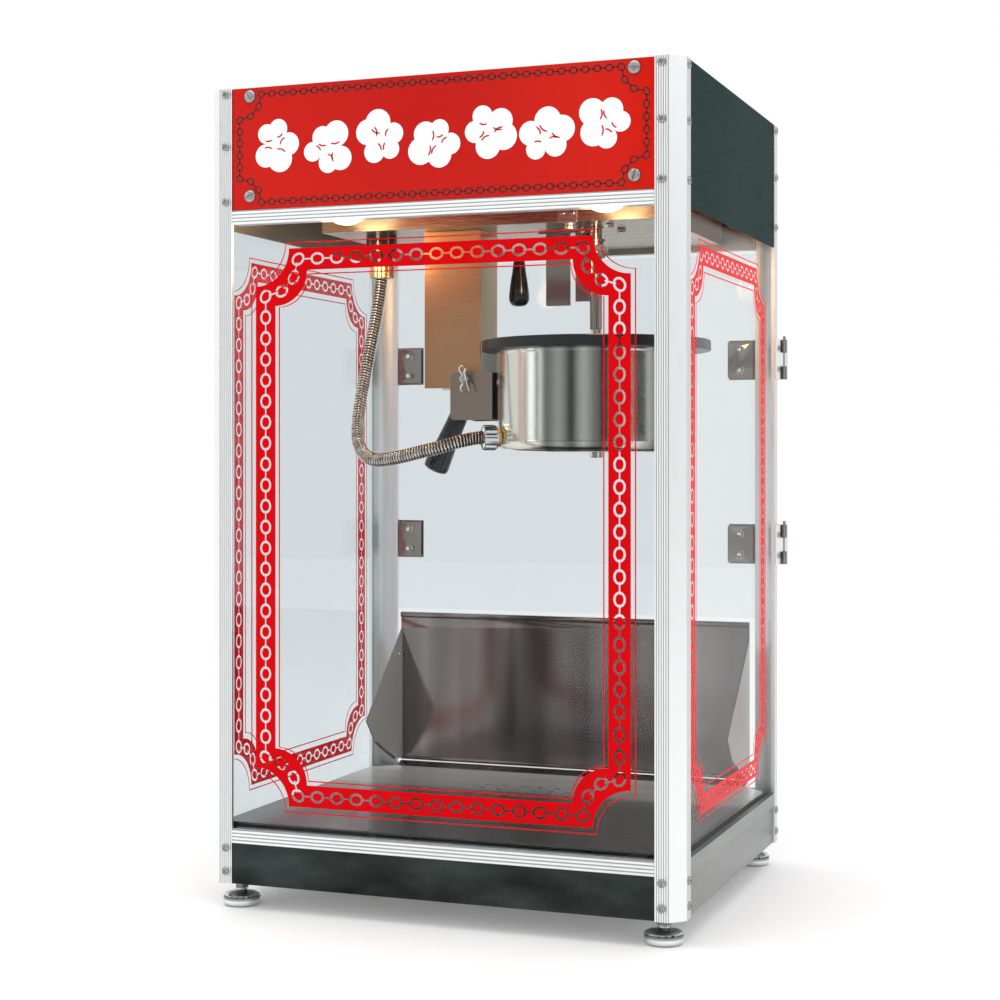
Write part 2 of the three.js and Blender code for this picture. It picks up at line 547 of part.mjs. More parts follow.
// Door half of a hinge: outer leaf with its end knuckles, two screws through the door, and the
// clamping plate and acorn nuts inside.
function doorHinge(side, z) {
  const third = HINGE_HALF / 3 + GAP;
  const leaf = box(194, HINGE_X - 8, DOOR_Y + DOOR_THICK + GAP, 213.8, z - HINGE_HALF, z + HINGE_HALF);
  const inner = box(194, 224, DOOR_Y - GAP - 1.8, DOOR_Y - GAP, z - HINGE_HALF + 2, z + HINGE_HALF - 2);
  const parts = [leaf, inner];
  for (const end of [-1, 1]) {
    const [near, far] = [z + end * third, z + end * HINGE_HALF].sort((p, q) => p - q);
    parts.push(box(HINGE_X - 9, HINGE_X, DOOR_Y + DOOR_THICK + GAP, 213.8, near, far));
    parts.push(bar([HINGE_X, HINGE_Y, near], [HINGE_X, HINGE_Y, far], KNUCKLE_R));
    const screwZ = z + end * 12;
    parts.push(bar([209, 199, screwZ], [209, 215, screwZ], 2.2, 12));
    parts.push(bar([209, 198.4, screwZ], [209, 204, screwZ], 4.6, 6));
  }
  const pin = bar([HINGE_X, HINGE_Y, z - HINGE_HALF], [HINGE_X, HINGE_Y, z + HINGE_HALF + 4], 1.7, 12);
  const whole = join(...parts, pin);
  return side > 0 ? whole : whole.mirror([1, 0, 0]);
}

function doors() {
  const seam = 0.9;
  const edge = HALF_WIDTH - POST_FACE - 1;
  for (const [label, side] of [['left', -1], ['right', 1]]) {
    const [x0, x1] = side > 0 ? [seam, edge] : [-edge, -seam];
    let door = box(x0, x1, DOOR_Y, DOOR_Y + DOOR_THICK, DOOR_BOTTOM, DOOR_TOP);
    HINGE_Z.forEach((z, i) => {
      for (const end of [-1, 1]) {
        const hole = bar([side * 209, 190, z + end * 12], [side * 209, 230, z + end * 12], 2.6, 12);
        door = cut(door, hole);
      }
      piece(`hinge_${label}_${i ? 'upper' : 'lower'}`, doorHinge(side, z), brushed);
    });
    piece(`door_${label}`, door, clear);
  }
}

// Serving chute: a panel with a rolled top edge, a folded foot and two kite-shaped side plates.
function chute() {
  const w = CHUTE_HALF_WIDTH;
  const panel = box(-w, w, CHUTE_PIVOT_Y, CHUTE_PIVOT_Y + SHEET, CHUTE_PIVOT_Z, CHUTE_TOP);
  const edge = CHUTE_PIVOT_Y + SHEET / 2;
  const foot = CHUTE_PIVOT_Z + 1;
  const roll = bar([-w, edge, CHUTE_TOP], [w, edge, CHUTE_TOP], 3.5, 12);
  const fold = bar([-w, edge, foot], [w, edge, foot], 2.5, 12);
  const kite = [[edge, 256], [97.5, 153], [123, 124], [179, 96.5], [edge, CHUTE_PIVOT_Z]];
  const sides = [[-w, -w + 1.5], [w - 1.5, w]].map(([x0, x1]) => prism('x', kite, x0, x1));
  piece('serving_chute', join(panel, roll, fold, ...sides), brushed);
}

// Crumb drawer: an open tray that slides out under the deck.
function crumbDrawer() {
  const w = DRAWER_HALF_WIDTH;
  const [y0, y1, z0, z1] = [-40, BACK + 1, 32, 62];
  const tray = cut(box(-w, w, y0, y1, z0, z1), box(-w + 1.5, w - 1.5, y0 + 1.5, y1 - 1.5, z0 + 1.5, z1 + 5));
  const front = box(-w - 6, w + 6, BACK - 0.5, BACK + 1.5, 28.8, 66);
  const lip = box(-40, 40, BACK + 1, BACK + 10, 48, 50);
  const bead = bar([-40, BACK + 8, 49], [40, BACK + 8, 49], 2, 12);
  piece('crumb_drawer', join(tray, front, lip, bead), brushed);
}

posts();
rails();
sideSills();
skirts();
feet();
floors();
glass();
header();
driveBox();
gearMotor();
lamps();
controls();
hanger();
kettle();
yoke();
connector();
agitator();
drive();
lift();
supplyLead();
doors();
chute();
crumbDrawer();

export default popcornMaker;
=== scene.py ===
"""Looks of the popcorn maker: printed glass, brushed and polished metals, a lit header and a kettle.

Shapes are made in millimetres, in the frame's axes, and written to meshes in metres.
"""
import math

import bmesh
import bpy
import numpy as np
from mathutils import Matrix, Vector
from mathutils.geometry import delaunay_2d_cdt


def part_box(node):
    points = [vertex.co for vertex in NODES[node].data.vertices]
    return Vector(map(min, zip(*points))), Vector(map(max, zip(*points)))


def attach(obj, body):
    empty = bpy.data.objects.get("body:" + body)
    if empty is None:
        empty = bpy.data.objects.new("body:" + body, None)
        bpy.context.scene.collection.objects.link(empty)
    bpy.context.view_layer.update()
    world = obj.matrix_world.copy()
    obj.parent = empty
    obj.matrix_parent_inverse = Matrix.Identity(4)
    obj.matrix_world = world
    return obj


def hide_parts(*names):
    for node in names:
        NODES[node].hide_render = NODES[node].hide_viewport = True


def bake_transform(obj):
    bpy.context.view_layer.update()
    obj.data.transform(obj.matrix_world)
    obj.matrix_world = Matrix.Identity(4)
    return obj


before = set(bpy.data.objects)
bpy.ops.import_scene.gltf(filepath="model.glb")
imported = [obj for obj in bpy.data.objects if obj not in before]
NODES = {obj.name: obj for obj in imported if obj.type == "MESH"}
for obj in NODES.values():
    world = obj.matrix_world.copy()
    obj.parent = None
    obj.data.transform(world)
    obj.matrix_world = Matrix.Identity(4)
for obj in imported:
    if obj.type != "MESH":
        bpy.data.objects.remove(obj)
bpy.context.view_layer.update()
MM = 0.001


def box_mm(node):
    """Lowest and highest corner of a CAD node, in millimetres."""
    low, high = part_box(node)
    return Vector(low) / MM, Vector(high) / MM


def middle(node):
    low, high = box_mm(node)
    return (low + high) / 2


# ---------------------------------------------------------------- camera, main places and cord

CAMERA_AT = (0.7128, -1.9345, 0.4637)
CAMERA_YAW = 20.56
LENS = 67.5
SHIFT_Y = -0.04

KETTLE_AXIS = Vector((106, -25, 0))
DRUM_RADIUS = 105.5
TILT_PIN = (-29, 551.5)         # along X and Z
HANDLE_TOP, HANDLE_END = (-50, -26, 514), (-80, -26, 452)
KNOB_AT = (10, -1, 0)
CONDUIT_D = 14.5
CONDUIT_PITCH = 3.2
GROOVE_DEPTH = 1.4
CONDUIT_ROUTE = [
    (-140, -34, 711), (-140, -34, 690), (-140.3, -34, 664.7), (-142.2, -35, 646.5),
    (-145.6, -39, 616.4), (-149, -47, 582.9), (-150.6, -58, 549.4), (-149.9, -71, 520.5),
    (-146.7, -83, 498.4), (-140.9, -93, 481.5), (-129.6, -101, 469.1), (-114.6, -107, 463.9),
    (-96.6, -112, 464.8), (-76.4, -116, 468.1), (-54.9, -118, 472.8), (-34.7, -117.5, 477.5),
    (-18.6, -112.2, 482.5), (-6.5, -103.8, 485.8), (2.4, -97.5, 487.2)]


def make_camera():
    data = bpy.data.cameras.new("camera")
    data.lens = LENS
    data.sensor_width = 36
    data.shift_y = SHIFT_Y
    camera = bpy.data.objects.new("camera", data)
    camera.location = CAMERA_AT
    camera.rotation_euler = (math.radians(90), 0, math.radians(CAMERA_YAW))
    bpy.context.scene.collection.objects.link(camera)
    bpy.context.scene.camera = camera


# ---------------------------------------------------------------- materials

def linear(r, g, b):
    """A colour given as screen values from 0 to 255, as linear light."""
    scaled = [v / 255 for v in (r, g, b)]
    return tuple(v / 12.92 if v <= 0.04045 else ((v + 0.055) / 1.055) ** 2.4 for v in scaled)


def shader_node(mat, kind, **values):
    """A new shader node, with its inputs set."""
    made = mat.node_tree.nodes.new("ShaderNode" + kind)
    set_inputs(made, values)
    return made


def set_inputs(shader, values):
    for socket, value in values.items():
        shader.inputs[socket.replace("_", " ")].default_value = value


def surface(mat):
    return mat.node_tree.nodes["Principled BSDF"]


def link(mat, source, target):
    mat.node_tree.links.new(source, target)


def principled(name, color, roughness, metallic=0.0, **sockets):
    mat = bpy.data.materials.new(name)
    mat.use_nodes = True
    set_inputs(surface(mat), {"Base Color": (*color, 1), "Roughness": roughness, "Metallic": metallic,
                              **sockets})
    return mat


def texture(mat, stretch, detail=3.0):
    """A noise in the row frame, with its own scale along each axis, in cells per metre."""
    mapping = shader_node(mat, "Mapping", Scale=stretch)
    noise = shader_node(mat, "TexNoise", Scale=1.0, Detail=detail)
    link(mat, shader_node(mat, "TexCoord").outputs["Object"], mapping.inputs["Vector"])
    link(mat, mapping.outputs["Vector"], noise.inputs["Vector"])
    return noise.outputs["Fac"]


def vary(mat, source, socket, low, high):
    """Drives one number of the shader from a texture, between two values."""
    span = shader_node(mat, "MapRange", From_Min=0.3, From_Max=0.7, To_Min=low, To_Max=high)
    link(mat, source, span.inputs["Value"])
    link(mat, span.outputs["Result"], surface(mat).inputs[socket])


def tint(mat, source, dark, light):
    """Colours the surface between two tones by a texture."""
    ramp = shader_node(mat, "ValToRGB")
    for mark, at, tone in zip(ramp.color_ramp.elements, (0.3, 0.7), (dark, light)):
        mark.position = at
        mark.color = (*tone, 1)
    link(mat, source, ramp.inputs["Fac"])
    link(mat, ramp.outputs["Color"], surface(mat).inputs["Base Color"])


def emboss(mat, source, strength):
    bump = shader_node(mat, "Bump", Strength=strength, Distance=0.0002)
    link(mat, source, bump.inputs["Height"])
    link(mat, bump.outputs["Normal"], surface(mat).inputs["Normal"])


# Painted reflections round the kettle, light and dark bands: share of a turn from -X, and brightness.
DRUM_REFLECTION_BANDS = [(0, 0.8), (0.14, 0.9), (0.18, 1), (0.2, 0.9), (0.22, 0.2), (0.24, 0.4), (0.26, 0.15),
              (0.28, 0.5), (0.3, 0.2), (0.35, 0.9), (0.4, 0.2), (0.5, 0.6), (0.7, 0.7), (0.8, 0.5),
              (1, 0.8)]


def ramp_tone(mat, source, stops, dark, light):
    """Colours the surface along a number, with stops of (position, brightness)."""
    ramp = shader_node(mat, "ValToRGB")
    ramp.color_ramp.interpolation = "EASE"
    marks = ramp.color_ramp.elements
    for i, (at, bright) in enumerate(stops):
        mark = marks[0] if i == 0 else marks.new(at)
        mark.position = at
        mark.color = (*[d + (l - d) * bright for d, l in zip(dark, light)], 1)
    marks.remove(marks[-1])
    link(mat, source, ramp.inputs["Fac"])
    link(mat, ramp.outputs["Color"], surface(mat).inputs["Base Color"])


def place_along(mat, axis, low, high):
    """Where a point lies along X, Y or Z, as a share from low to high, in millimetres."""
    split = shader_node(mat, "SeparateXYZ")
    share = shader_node(mat, "MapRange", From_Min=low * MM, From_Max=high * MM)
    link(mat, shader_node(mat, "TexCoord").outputs["Object"], split.inputs["Vector"])
    link(mat, split.outputs[axis], share.inputs["Value"])
    return share.outputs["Result"]


def turn_round(mat, centre):
    """Where a point lies round an upright axis, as a share of a turn from -X."""
    shift = shader_node(mat, "Mapping", Location=[-v * MM for v in centre])
    split = shader_node(mat, "SeparateXYZ")
    angle = shader_node(mat, "Math")
    angle.operation = "ARCTAN2"
    share = shader_node(mat, "MapRange", From_Min=-math.pi, From_Max=math.pi)
    link(mat, shader_node(mat, "TexCoord").outputs["Object"], shift.inputs["Vector"])
    link(mat, shift.outputs["Vector"], split.inputs["Vector"])
    link(mat, split.outputs["Y"], angle.inputs[0])
    link(mat, split.outputs["X"], angle.inputs[1])
    link(mat, angle.outputs["Value"], share.inputs["Value"])
    return share.outputs["Result"]


# Painted reflections on the chrome of the feet, from the floor up: share of the height, and brightness.
FOOT_REFLECTION_BANDS = [(0, 0.1), (0.08, 0.7), (0.2, 0.95), (0.3, 0.25), (0.38, 0.08), (0.44, 0.75), (0.52, 0.2),
              (0.6, 0.6), (0.75, 0.12), (1, 0.5)]

# Painted reflection on the deck, darker towards the customer: share of its depth from the front, and
# brightness.
DECK_REFLECTION_TONES = [(0, 0.04), (0.5, 0.05), (0.62, 0.12), (0.72, 0.5), (0.85, 0.75), (1, 0.9)]

GRAIN = {"x": (14, 900, 900), "y": (900, 14, 900), "z": (900, 900, 14)}


def brushed(name, tone, roughness, along, depth=0.12, spread=0.12, metallic=1.0):
    """Brushed stainless steel, with its grain along one axis."""
    mat = principled(name, tone, roughness, metallic)
    grain = texture(mat, GRAIN[along])
    vary(mat, grain, "Roughness", roughness - spread / 2, roughness + spread / 2)
    cloud = texture(mat, (5, 5, 5), detail=2)
    tint(mat, cloud, [v * 0.88 for v in tone], [min(v * 1.08, 1) for v in tone])
    if depth:
        emboss(mat, grain, depth)
    return mat


def clear_panel(name, tone):
    """Clear sheet that lets light through and mirrors the room, more so at a glancing angle."""
    mat = bpy.data.materials.new(name)
    mat.use_nodes = True
    mat.node_tree.nodes.remove(surface(mat))
    through = shader_node(mat, "BsdfTransparent", Color=(*tone, 1))
    gloss = shader_node(mat, "BsdfGlossy", Roughness=0.02)
    glance = shader_node(mat, "LayerWeight", Blend=0.04)
    share = shader_node(mat, "MapRange", To_Min=0.002, To_Max=0.8)
    mix = shader_node(mat, "MixShader")
    link(mat, glance.outputs["Facing"], share.inputs["Value"])
    link(mat, share.outputs["Result"], mix.inputs["Fac"])
    link(mat, through.outputs["BSDF"], mix.inputs[1])
    link(mat, gloss.outputs["BSDF"], mix.inputs[2])
    link(mat, mix.outputs["Shader"], mat.node_tree.nodes["Material Output"].inputs["Surface"])
    return mat


def plain(name, color, roughness, cells, low, high, metallic=0.0, **sockets):
    """A shader whose roughness wanders between two values, in blotches of so many cells per metre."""
    mat = principled(name, color, roughness, metallic, **sockets)
    vary(mat, texture(mat, (cells, cells, cells)), "Roughness", low, high)
    return mat


# Brushed steels: tone, roughness and grain, then its depth, the roughness's spread and the metalness.
STEELS = {
    "steel_x": ("brushed_steel_x", (0.5, 0.51, 0.5), 0.3, "x"),
    "steel_y": ("brushed_steel_y", (0.5, 0.51, 0.5), 0.3, "y"),
    "sill": ("sill_steel", (0.24, 0.252, 0.245), 0.34, "y", 0.06),
    "shaft": ("shaft_steel", (0.3, 0.28, 0.25), 0.2, "z", 0.02),
    # The skirt's very dark tone is a painted dark reflection.
    "skirt": ("skirt_steel_dark_reflection", (0.03, 0.036, 0.035), 0.34, "z", 0.2, 0.2),
    "header": ("header_steel", (0.05, 0.056, 0.054), 0.4, "y", 0.05),
    "deck": ("deck_steel", (0.045, 0.044, 0.04), 0.22, "x", 0, 0.02, 0.15),
    "chute": ("chute_steel", (0.2, 0.165, 0.155), 0.14, "x", 0, 0.02),
    # The chute's side plates: a lighter copy of the chute's steel, painted light.
    "kite": ("chute_side_steel", (0.66, 0.65, 0.6), 0.4, "z", 0.03, 0.1, 0.2),
    "box": ("drive_box_steel", (0.36, 0.27, 0.19), 0.28, "x", 0.03),
    # The header's inner faces: a warm, lit copy of its steel, painted lamp light.
    "tan": ("header_inside_steel", (0.62, 0.52, 0.4), 0.4, "y", 0.03),
    # The hanger's front plate is painted warm lamp light; its rear plate is a cooler, less lit copy,
    # painted shade.
    "hanger": ("hanger_steel", (0.5, 0.27, 0.14), 0.32, "x", 0.02),
    "hanger_rear": ("hanger_rear_steel", (0.8, 1.0, 1.0), 0.4, "z", 0, 0.12, 0),
    "yoke": ("yoke_steel", (0.3, 0.225, 0.18), 0.2, "x", 0.02, 0.06),
    "hinge": ("hinge_steel", (0.3, 0.27, 0.24), 0.15, "z", 0, 0.04),
    "bracket": ("bracket_steel", (0.26, 0.23, 0.2), 0.14, "x", 0.02, 0.06),
}

# Other surfaces: tone, roughness, cells per metre, the roughness's two ends, and the metalness.
SURFACES = {
    "chrome": ("bright_chrome", (0.88, 0.89, 0.9), 0.05, 160, 0.03, 0.1, 1.0),
    "screw": ("screw_steel", (0.34, 0.345, 0.34), 0.22, 500, 0.14, 0.36, 1.0),
    "foot": ("foot_chrome", (0.6, 0.6, 0.6), 0.08, 160, 0.05, 0.12, 1.0),
    "rib": ("rib_shadow", (0.4, 0.42, 0.42), 0.5, 300, 0.45, 0.6, 1.0),
    "brass": ("brass_fitting", (0.72, 0.52, 0.24), 0.22, 300, 0.15, 0.35, 1.0),
    # The conduit's grooves are painted dark: painted shade.
    "groove": ("conduit_groove_shade", (0.022, 0.014, 0.01), 0.4, 120, 0.35, 0.5, 1.0),
    "conduit": ("conduit_steel", (0.66, 0.6, 0.53), 0.16, 120, 0.06, 0.16, 1.0),
    "lid": ("anodised_lid", (0.022, 0.024, 0.025), 0.34, 300, 0.3, 0.45, 0.4),
    "black": ("glossy_black", (0.008, 0.008, 0.009), 0.1, 90, 0.06, 0.14),
    "ink": ("ink_black", (0.006, 0.005, 0.005), 0.35, 200, 0.3, 0.45),
    "white": ("ink_white", (0.92, 0.92, 0.9), 0.3, 60, 0.25, 0.4),
    "rocker": ("rocker_red", linear(190, 20, 18), 0.2, 90, 0.14, 0.3),
    "ceramic": ("glazed_ceramic", (0.8, 0.79, 0.75), 0.3, 60, 0.22, 0.4),
}


def finish_steels(m):
    """Cloudy and banded tones: painted reflections standing in for what the metals mirror, on the skirt,
    deck, chute and feet; the conduit gets an uneven, blotchy tone.
    """
    # Painted mottled highlights over the skirt's painted dark reflection.
    mottled_sheen = texture(m["skirt"], (9, 9, 26), detail=4)
    tint(m["skirt"], mottled_sheen, (0.008, 0.011, 0.01), (0.045, 0.055, 0.053))
    set_inputs(surface(m["header"]), {"Specular Tint": (0.4, 0.48, 0.48, 1)})
    # Painted reflection on the deck, lighter towards the rear.
    ramp_tone(m["deck"], place_along(m["deck"], "Y", -215, 190), DECK_REFLECTION_TONES, (0.02, 0.02, 0.018),
              (0.85, 0.83, 0.78))
    set_inputs(surface(m["chute"]), {"Anisotropic": 0.8, "Anisotropic Rotation": 0.25})
    # Painted reflections on the chute: long upright streaks.
    tint(m["chute"], texture(m["chute"], (22, 22, 1.2)), (0.1, 0.078, 0.072), (0.36, 0.31, 0.29))
    # Painted reflection bands on the feet.
    ramp_tone(m["foot"], place_along(m["foot"], "Z", 0, 26.5), FOOT_REFLECTION_BANDS, (0.02, 0.022, 0.022),
              (0.9, 0.92, 0.92))
    tint(m["conduit"], texture(m["conduit"], (120, 120, 120)), (0.52, 0.42, 0.33), (0.88, 0.82, 0.75))


def make_aluminium(name, grain_scale):
    mat = principled(name, (0.87, 0.89, 0.89), 0.42, 1.0)
    grain = texture(mat, grain_scale)
    vary(mat, grain, "Roughness", 0.36, 0.48)
    emboss(mat, grain, 0.05)
    return mat


def make_drum_steel():
    mat = principled("kettle_polished_steel", (0.76, 0.745, 0.7), 0.2, 1.0)
    # The ramp paints reflections round the kettle, in bands fixed to the drum.
    ramp_tone(mat, turn_round(mat, middle("kettle_drum")), DRUM_REFLECTION_BANDS, (0.03, 0.025, 0.014),
              (1.0, 0.965, 0.86))
    turned = texture(mat, (30, 30, 1500))
    vary(mat, turned, "Roughness", 0.14, 0.22)
    emboss(mat, turned, 0.02)
    return mat


def make_materials():
    m = {key: brushed(*row) for key, row in STEELS.items()}
    m |= {key: plain(*row) for key, row in SURFACES.items()}
    finish_steels(m)
    m["aluminium"] = make_aluminium("satin_aluminium", (1400, 1400, 30))
    m["rail"] = make_aluminium("satin_aluminium_rail", (30, 1400, 1400))
    m["drum"] = make_drum_steel()
    m["rubber"] = principled("matt_black", (0.02, 0.02, 0.02), 0.6)
    emboss(m["rubber"], texture(m["rubber"], (900, 900, 900)), 0.2)
    m["sign"] = principled("sign_red", linear(205, 40, 26), 0.1, 0.0, Specular_IOR_Level=0.12)
    patches = texture(m["sign"], (3.2, 3.2, 3.2), detail=1)
    tint(m["sign"], patches, linear(182, 20, 14), linear(204, 30, 16))
    # The emission is painted light that brightens the red borders; the side panes' copy has a darker tone
    # and a stronger painted glow.
    for name, painted_glow, dark, light in (("print", 0.06, (192, 2, 9), (202, 3, 12)),
                                    ("side_print", 0.62, (140, 1, 5), (152, 2, 8))):
        m[name] = principled("border_red_" + name, linear(*light), 0.32, 0.0, Specular_IOR_Level=0.04,
                             Emission_Color=(*linear(236, 6, 22), 1), Emission_Strength=painted_glow)
        tint(m[name], texture(m[name], (40, 40, 40)), linear(*dark), linear(*light))
    m["lamp"] = principled("lit_globe", (1.0, 0.9, 0.7), 0.4, Emission_Strength=2.4,
                           Emission_Color=(1.0, 0.86, 0.62, 1))
    m["glass"] = clear_panel("clear_glass", (0.875, 0.895, 0.905))
    m["side_glass"] = clear_panel("clear_side_glass", (0.93, 0.945, 0.95))
    m["acrylic"] = clear_panel("clear_acrylic", (0.945, 0.955, 0.96))
    return m


# ---------------------------------------------------------------- shapes

class Shape:
    """Points in millimetres and the faces between them."""

    def __init__(self, points=(), faces=()):
        self.points = [Vector(p) for p in points]
        self.faces = [tuple(f) for f in faces]

    def add(self, other):
        start = len(self.points)
        self.points += other.points
        self.faces += [tuple(i + start for i in face) for face in other.faces]
        return self

    def moved(self, at=(0, 0, 0), up=(0, 0, 1), turn=0.0):
        """A copy whose own Z points along up, turned about it in degrees, and placed at a point."""
        aim = Vector((0, 0, 1)).rotation_difference(Vector(up)).to_matrix().to_4x4()
        matrix = Matrix.Translation(at) @ aim @ Matrix.Rotation(math.radians(turn), 4, "Z")
        return Shape([matrix @ p for p in self.points], self.faces)


def total(shapes):
    whole = Shape()
    for shape in shapes:
        whole.add(shape)
    return whole


def arc(cx, cy, radius, start, end, steps):
    """Points round part of a circle, with angles in degrees."""
    angles = [math.radians(start + (end - start) * i / steps) for i in range(steps + 1)]
    return [(cx + radius * math.cos(a), cy + radius * math.sin(a)) for a in angles]


def lathe(profile, sides=48, closed=False):
    """Turns (radius, height) points about Z. An open profile starts and ends on the axis."""
    points, faces, rings = [], [], []
    for radius, height in profile:
        if radius < 1e-6:
            rings.append([len(points)] * sides)
            points.append((0, 0, height))
            continue
        rings.append(list(range(len(points), len(points) + sides)))
        for i in range(sides):
            a = 2 * math.pi * i / sides
            points.append((radius * math.cos(a), radius * math.sin(a), height))
    pairs = list(zip(rings, rings[1:]))
    if closed:
        pairs.append((rings[-1], rings[0]))
    for low, high in pairs:
        for i in range(sides):
            j = (i + 1) % sides
            face = list(dict.fromkeys((low[i], low[j], high[j], high[i])))
            if len(face) > 2:
                faces.append(face)
    return Shape(points, faces)


def block(low, high):
    (x0, y0, z0), (x1, y1, z1) = low, high
    points = [(x, y, z) for z in (z0, z1) for y in (y0, y1) for x in (x0, x1)]
    faces = [(0, 2, 3, 1), (4, 5, 7, 6), (0, 1, 5, 4), (2, 6, 7, 3), (0, 4, 6, 2), (1, 3, 7, 5)]
    return Shape(points, faces)


def inside(loop, point):
    """Whether a point is inside a closed outline."""
    x, y = point
    found = False
    for (x0, y0), (x1, y1) in zip(loop, loop[1:] + loop[:1]):
        if (y0 > y) != (y1 > y) and x < (x1 - x0) * (y - y0) / (y1 - y0) + x0:
            found = not found
    return found


def triangles(loops, keep):
    """Cuts the plane along closed outlines, and keeps the triangles whose middle passes the test."""
    points, edges = [], []
    for loop in loops:
        start = len(points)
        points += [Vector(p) for p in loop]
        edges += [(start + i, start + (i + 1) % len(loop)) for i in range(len(loop))]
    out = delaunay_2d_cdt(points, edges, [], 0, 1e-5)
    flat, faces = out[0], [tuple(face) for face in out[2]]
    centres = np.array([np.mean([flat[i] for i in face], axis=0) for face in faces])
    kept = keep(centres)
    return flat, [face for face, ok in zip(faces, kept) if ok]


def thick(flat, faces, low, high):
    """A slab between two heights over a set of flat triangles, closed round its edges."""
    used = sorted({i for face in faces for i in face})
    index = {old: new for new, old in enumerate(used)}
    count = len(used)
    points = [(flat[i][0], flat[i][1], low) for i in used]
    points += [(flat[i][0], flat[i][1], high) for i in used]
    top = [tuple(index[i] + count for i in face) for face in faces]
    bottom = [tuple(index[i] for i in reversed(face)) for face in faces]
    directed = {(a, b) for f in bottom for a, b in zip(f, f[1:] + f[:1])}
    rim = [(b, a, a + count, b + count) for a, b in directed if (b, a) not in directed]
    return Shape(points, top + bottom + rim)


def slab(outline, holes, low, high):
    """A flat plate between two heights, with holes."""
    loops = [outline] + holes

    def keep(centres):
        return [sum(inside(loop, c) for loop in loops) % 2 == 1 for c in centres]

    flat, faces = triangles(loops, keep)
    return thick(flat, faces, low, high)


def upright(shape, y):
    """Stands a slab drawn as (x, z) up at a given y, with its top side facing the front."""
    return Shape([(p.x, y - p.z, p.y) for p in shape.points], shape.faces)


def smooth_path(route, step):
    """Points about one step apart on a smooth curve through the route."""
    ends = [2 * route[0] - route[1], *route, 2 * route[-1] - route[-2]]
    fine = []
    for a, b, c, d in zip(ends, ends[1:], ends[2:], ends[3:]):
        for i in range(24):
            t = i / 24
            fine.append(0.5 * (2 * b + (c - a) * t + (2 * a - 5 * b + 4 * c - d) * t ** 2
                               + (3 * b - a - 3 * c + d) * t ** 3))
    fine.append(route[-1])
    line = np.array(fine)
    along = np.concatenate([[0], np.cumsum(np.linalg.norm(np.diff(line, axis=0), axis=1))])
    at = np.linspace(0, along[-1], max(2, round(along[-1] / step) + 1))
    return np.stack([np.interp(at, along, line[:, k]) for k in range(3)], axis=1), along[-1]


def tube(path, radii, sides=16):
    """A tube along a path, closed at both ends. The radii are one number, or one per ring and side."""
    points, faces = [], []
    count = len(path)
    radii = np.broadcast_to(radii, (count, sides))
    ahead = np.gradient(path, axis=0)
    side = np.cross(ahead[0], (0.3, 0.9, 0.2))
    for i in range(count):
        t = ahead[i] / np.linalg.norm(ahead[i])
        side = side - t * np.dot(side, t)
        side = side / np.linalg.norm(side)
        other = np.cross(t, side)
        for k in range(sides):
            a = 2 * math.pi * k / sides
            points.append(path[i] + radii[i, k] * (math.cos(a) * side + math.sin(a) * other))
    for i in range(count - 1):
        for k in range(sides):
            j = (k + 1) % sides
            faces.append((i * sides + k, i * sides + j, (i + 1) * sides + j, (i + 1) * sides + k))
    faces.append(tuple(range(sides))[::-1])
    faces.append(tuple(range((count - 1) * sides, count * sides)))
    return Shape(points, faces)


def carve(shape, cutters):
    """The shape with other shapes cut out of it."""
    tools = [as_object("carve_tool", cutter) for cutter in cutters]
    body = as_object("carve_body", shape)
    for tool in tools:
        change = body.modifiers.new("cut", "BOOLEAN")
        change.object = tool
        change.solver = "EXACT"
    made = body.evaluated_get(bpy.context.evaluated_depsgraph_get()).to_mesh()
    out = Shape([p.co / MM for p in made.vertices], [tuple(f.vertices) for f in made.polygons])
    for scrap in [body, *tools]:
        bpy.data.objects.remove(scrap)
    return out


def as_object(name, shape):
    mesh = bpy.data.meshes.new(name)
    mesh.from_pydata([p * MM for p in shape.points], [], shape.faces)
    mesh.validate()
    work = bmesh.new()
    work.from_mesh(mesh)
    bmesh.ops.recalc_face_normals(work, faces=work.faces)
    work.to_mesh(mesh)
    work.free()
    obj = bpy.data.objects.new(name, mesh)
    bpy.context.scene.collection.objects.link(obj)
    return obj


def finish_mesh(obj, mat, sharp=32, bevel=0.0):
    """Smooth shading with sharp creases, an optional small bevel, and the material."""
    obj.data.materials.clear()
    obj.data.materials.append(mat)
    obj.data.polygons.foreach_set("use_smooth", [True] * len(obj.data.polygons))
    obj.data.set_sharp_from_angle(angle=math.radians(sharp))
    if bevel:
        change = obj.modifiers.new("bevel", "BEVEL")
        change.width = bevel * MM
        change.segments = 2
        change.limit_method = "ANGLE"
        change.angle_limit = math.radians(40)
        change.harden_normals = True


def place(name, shape, mat, body="root", stands_for=(), sharp=32, bevel=0.0):
    """Makes a piece, rides it on its body and hides the CAD nodes it stands for."""
    obj = as_object(name, shape)
    finish_mesh(obj, mat, sharp, bevel)
    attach(obj, body)
    if stands_for:
        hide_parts(*stands_for)
    return obj


def refine(node, mat, body, bevel=0.4):
    """Stands in for a CAD plate with the same shape and softened edges."""
    mesh = NODES[node].data.copy()
    work = bmesh.new()
    work.from_mesh(mesh)
    bmesh.ops.remove_doubles(work, verts=work.verts, dist=1e-6)
    bmesh.ops.dissolve_limit(work, angle_limit=math.radians(1), verts=work.verts, edges=work.edges)
    work.to_mesh(mesh)
    work.free()
    obj = bpy.data.objects.new(node + "_finish", mesh)
    bpy.context.scene.collection.objects.link(obj)
    finish_mesh(obj, mat, bevel=bevel)
    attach(obj, body)
    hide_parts(node)
    return obj


def two_tone(obj, mat, test):
    """Gives a second material to the faces that pass the test."""
    obj.data.materials.append(mat)
    for face in obj.data.polygons:
        if test(face):
            face.material_index = 1


def paint(mat, *nodes):
    for node in nodes:
        obj = NODES[node]
        obj.data.materials.clear()
        obj.data.materials.append(mat)


# ---------------------------------------------------------------- the supply conduit

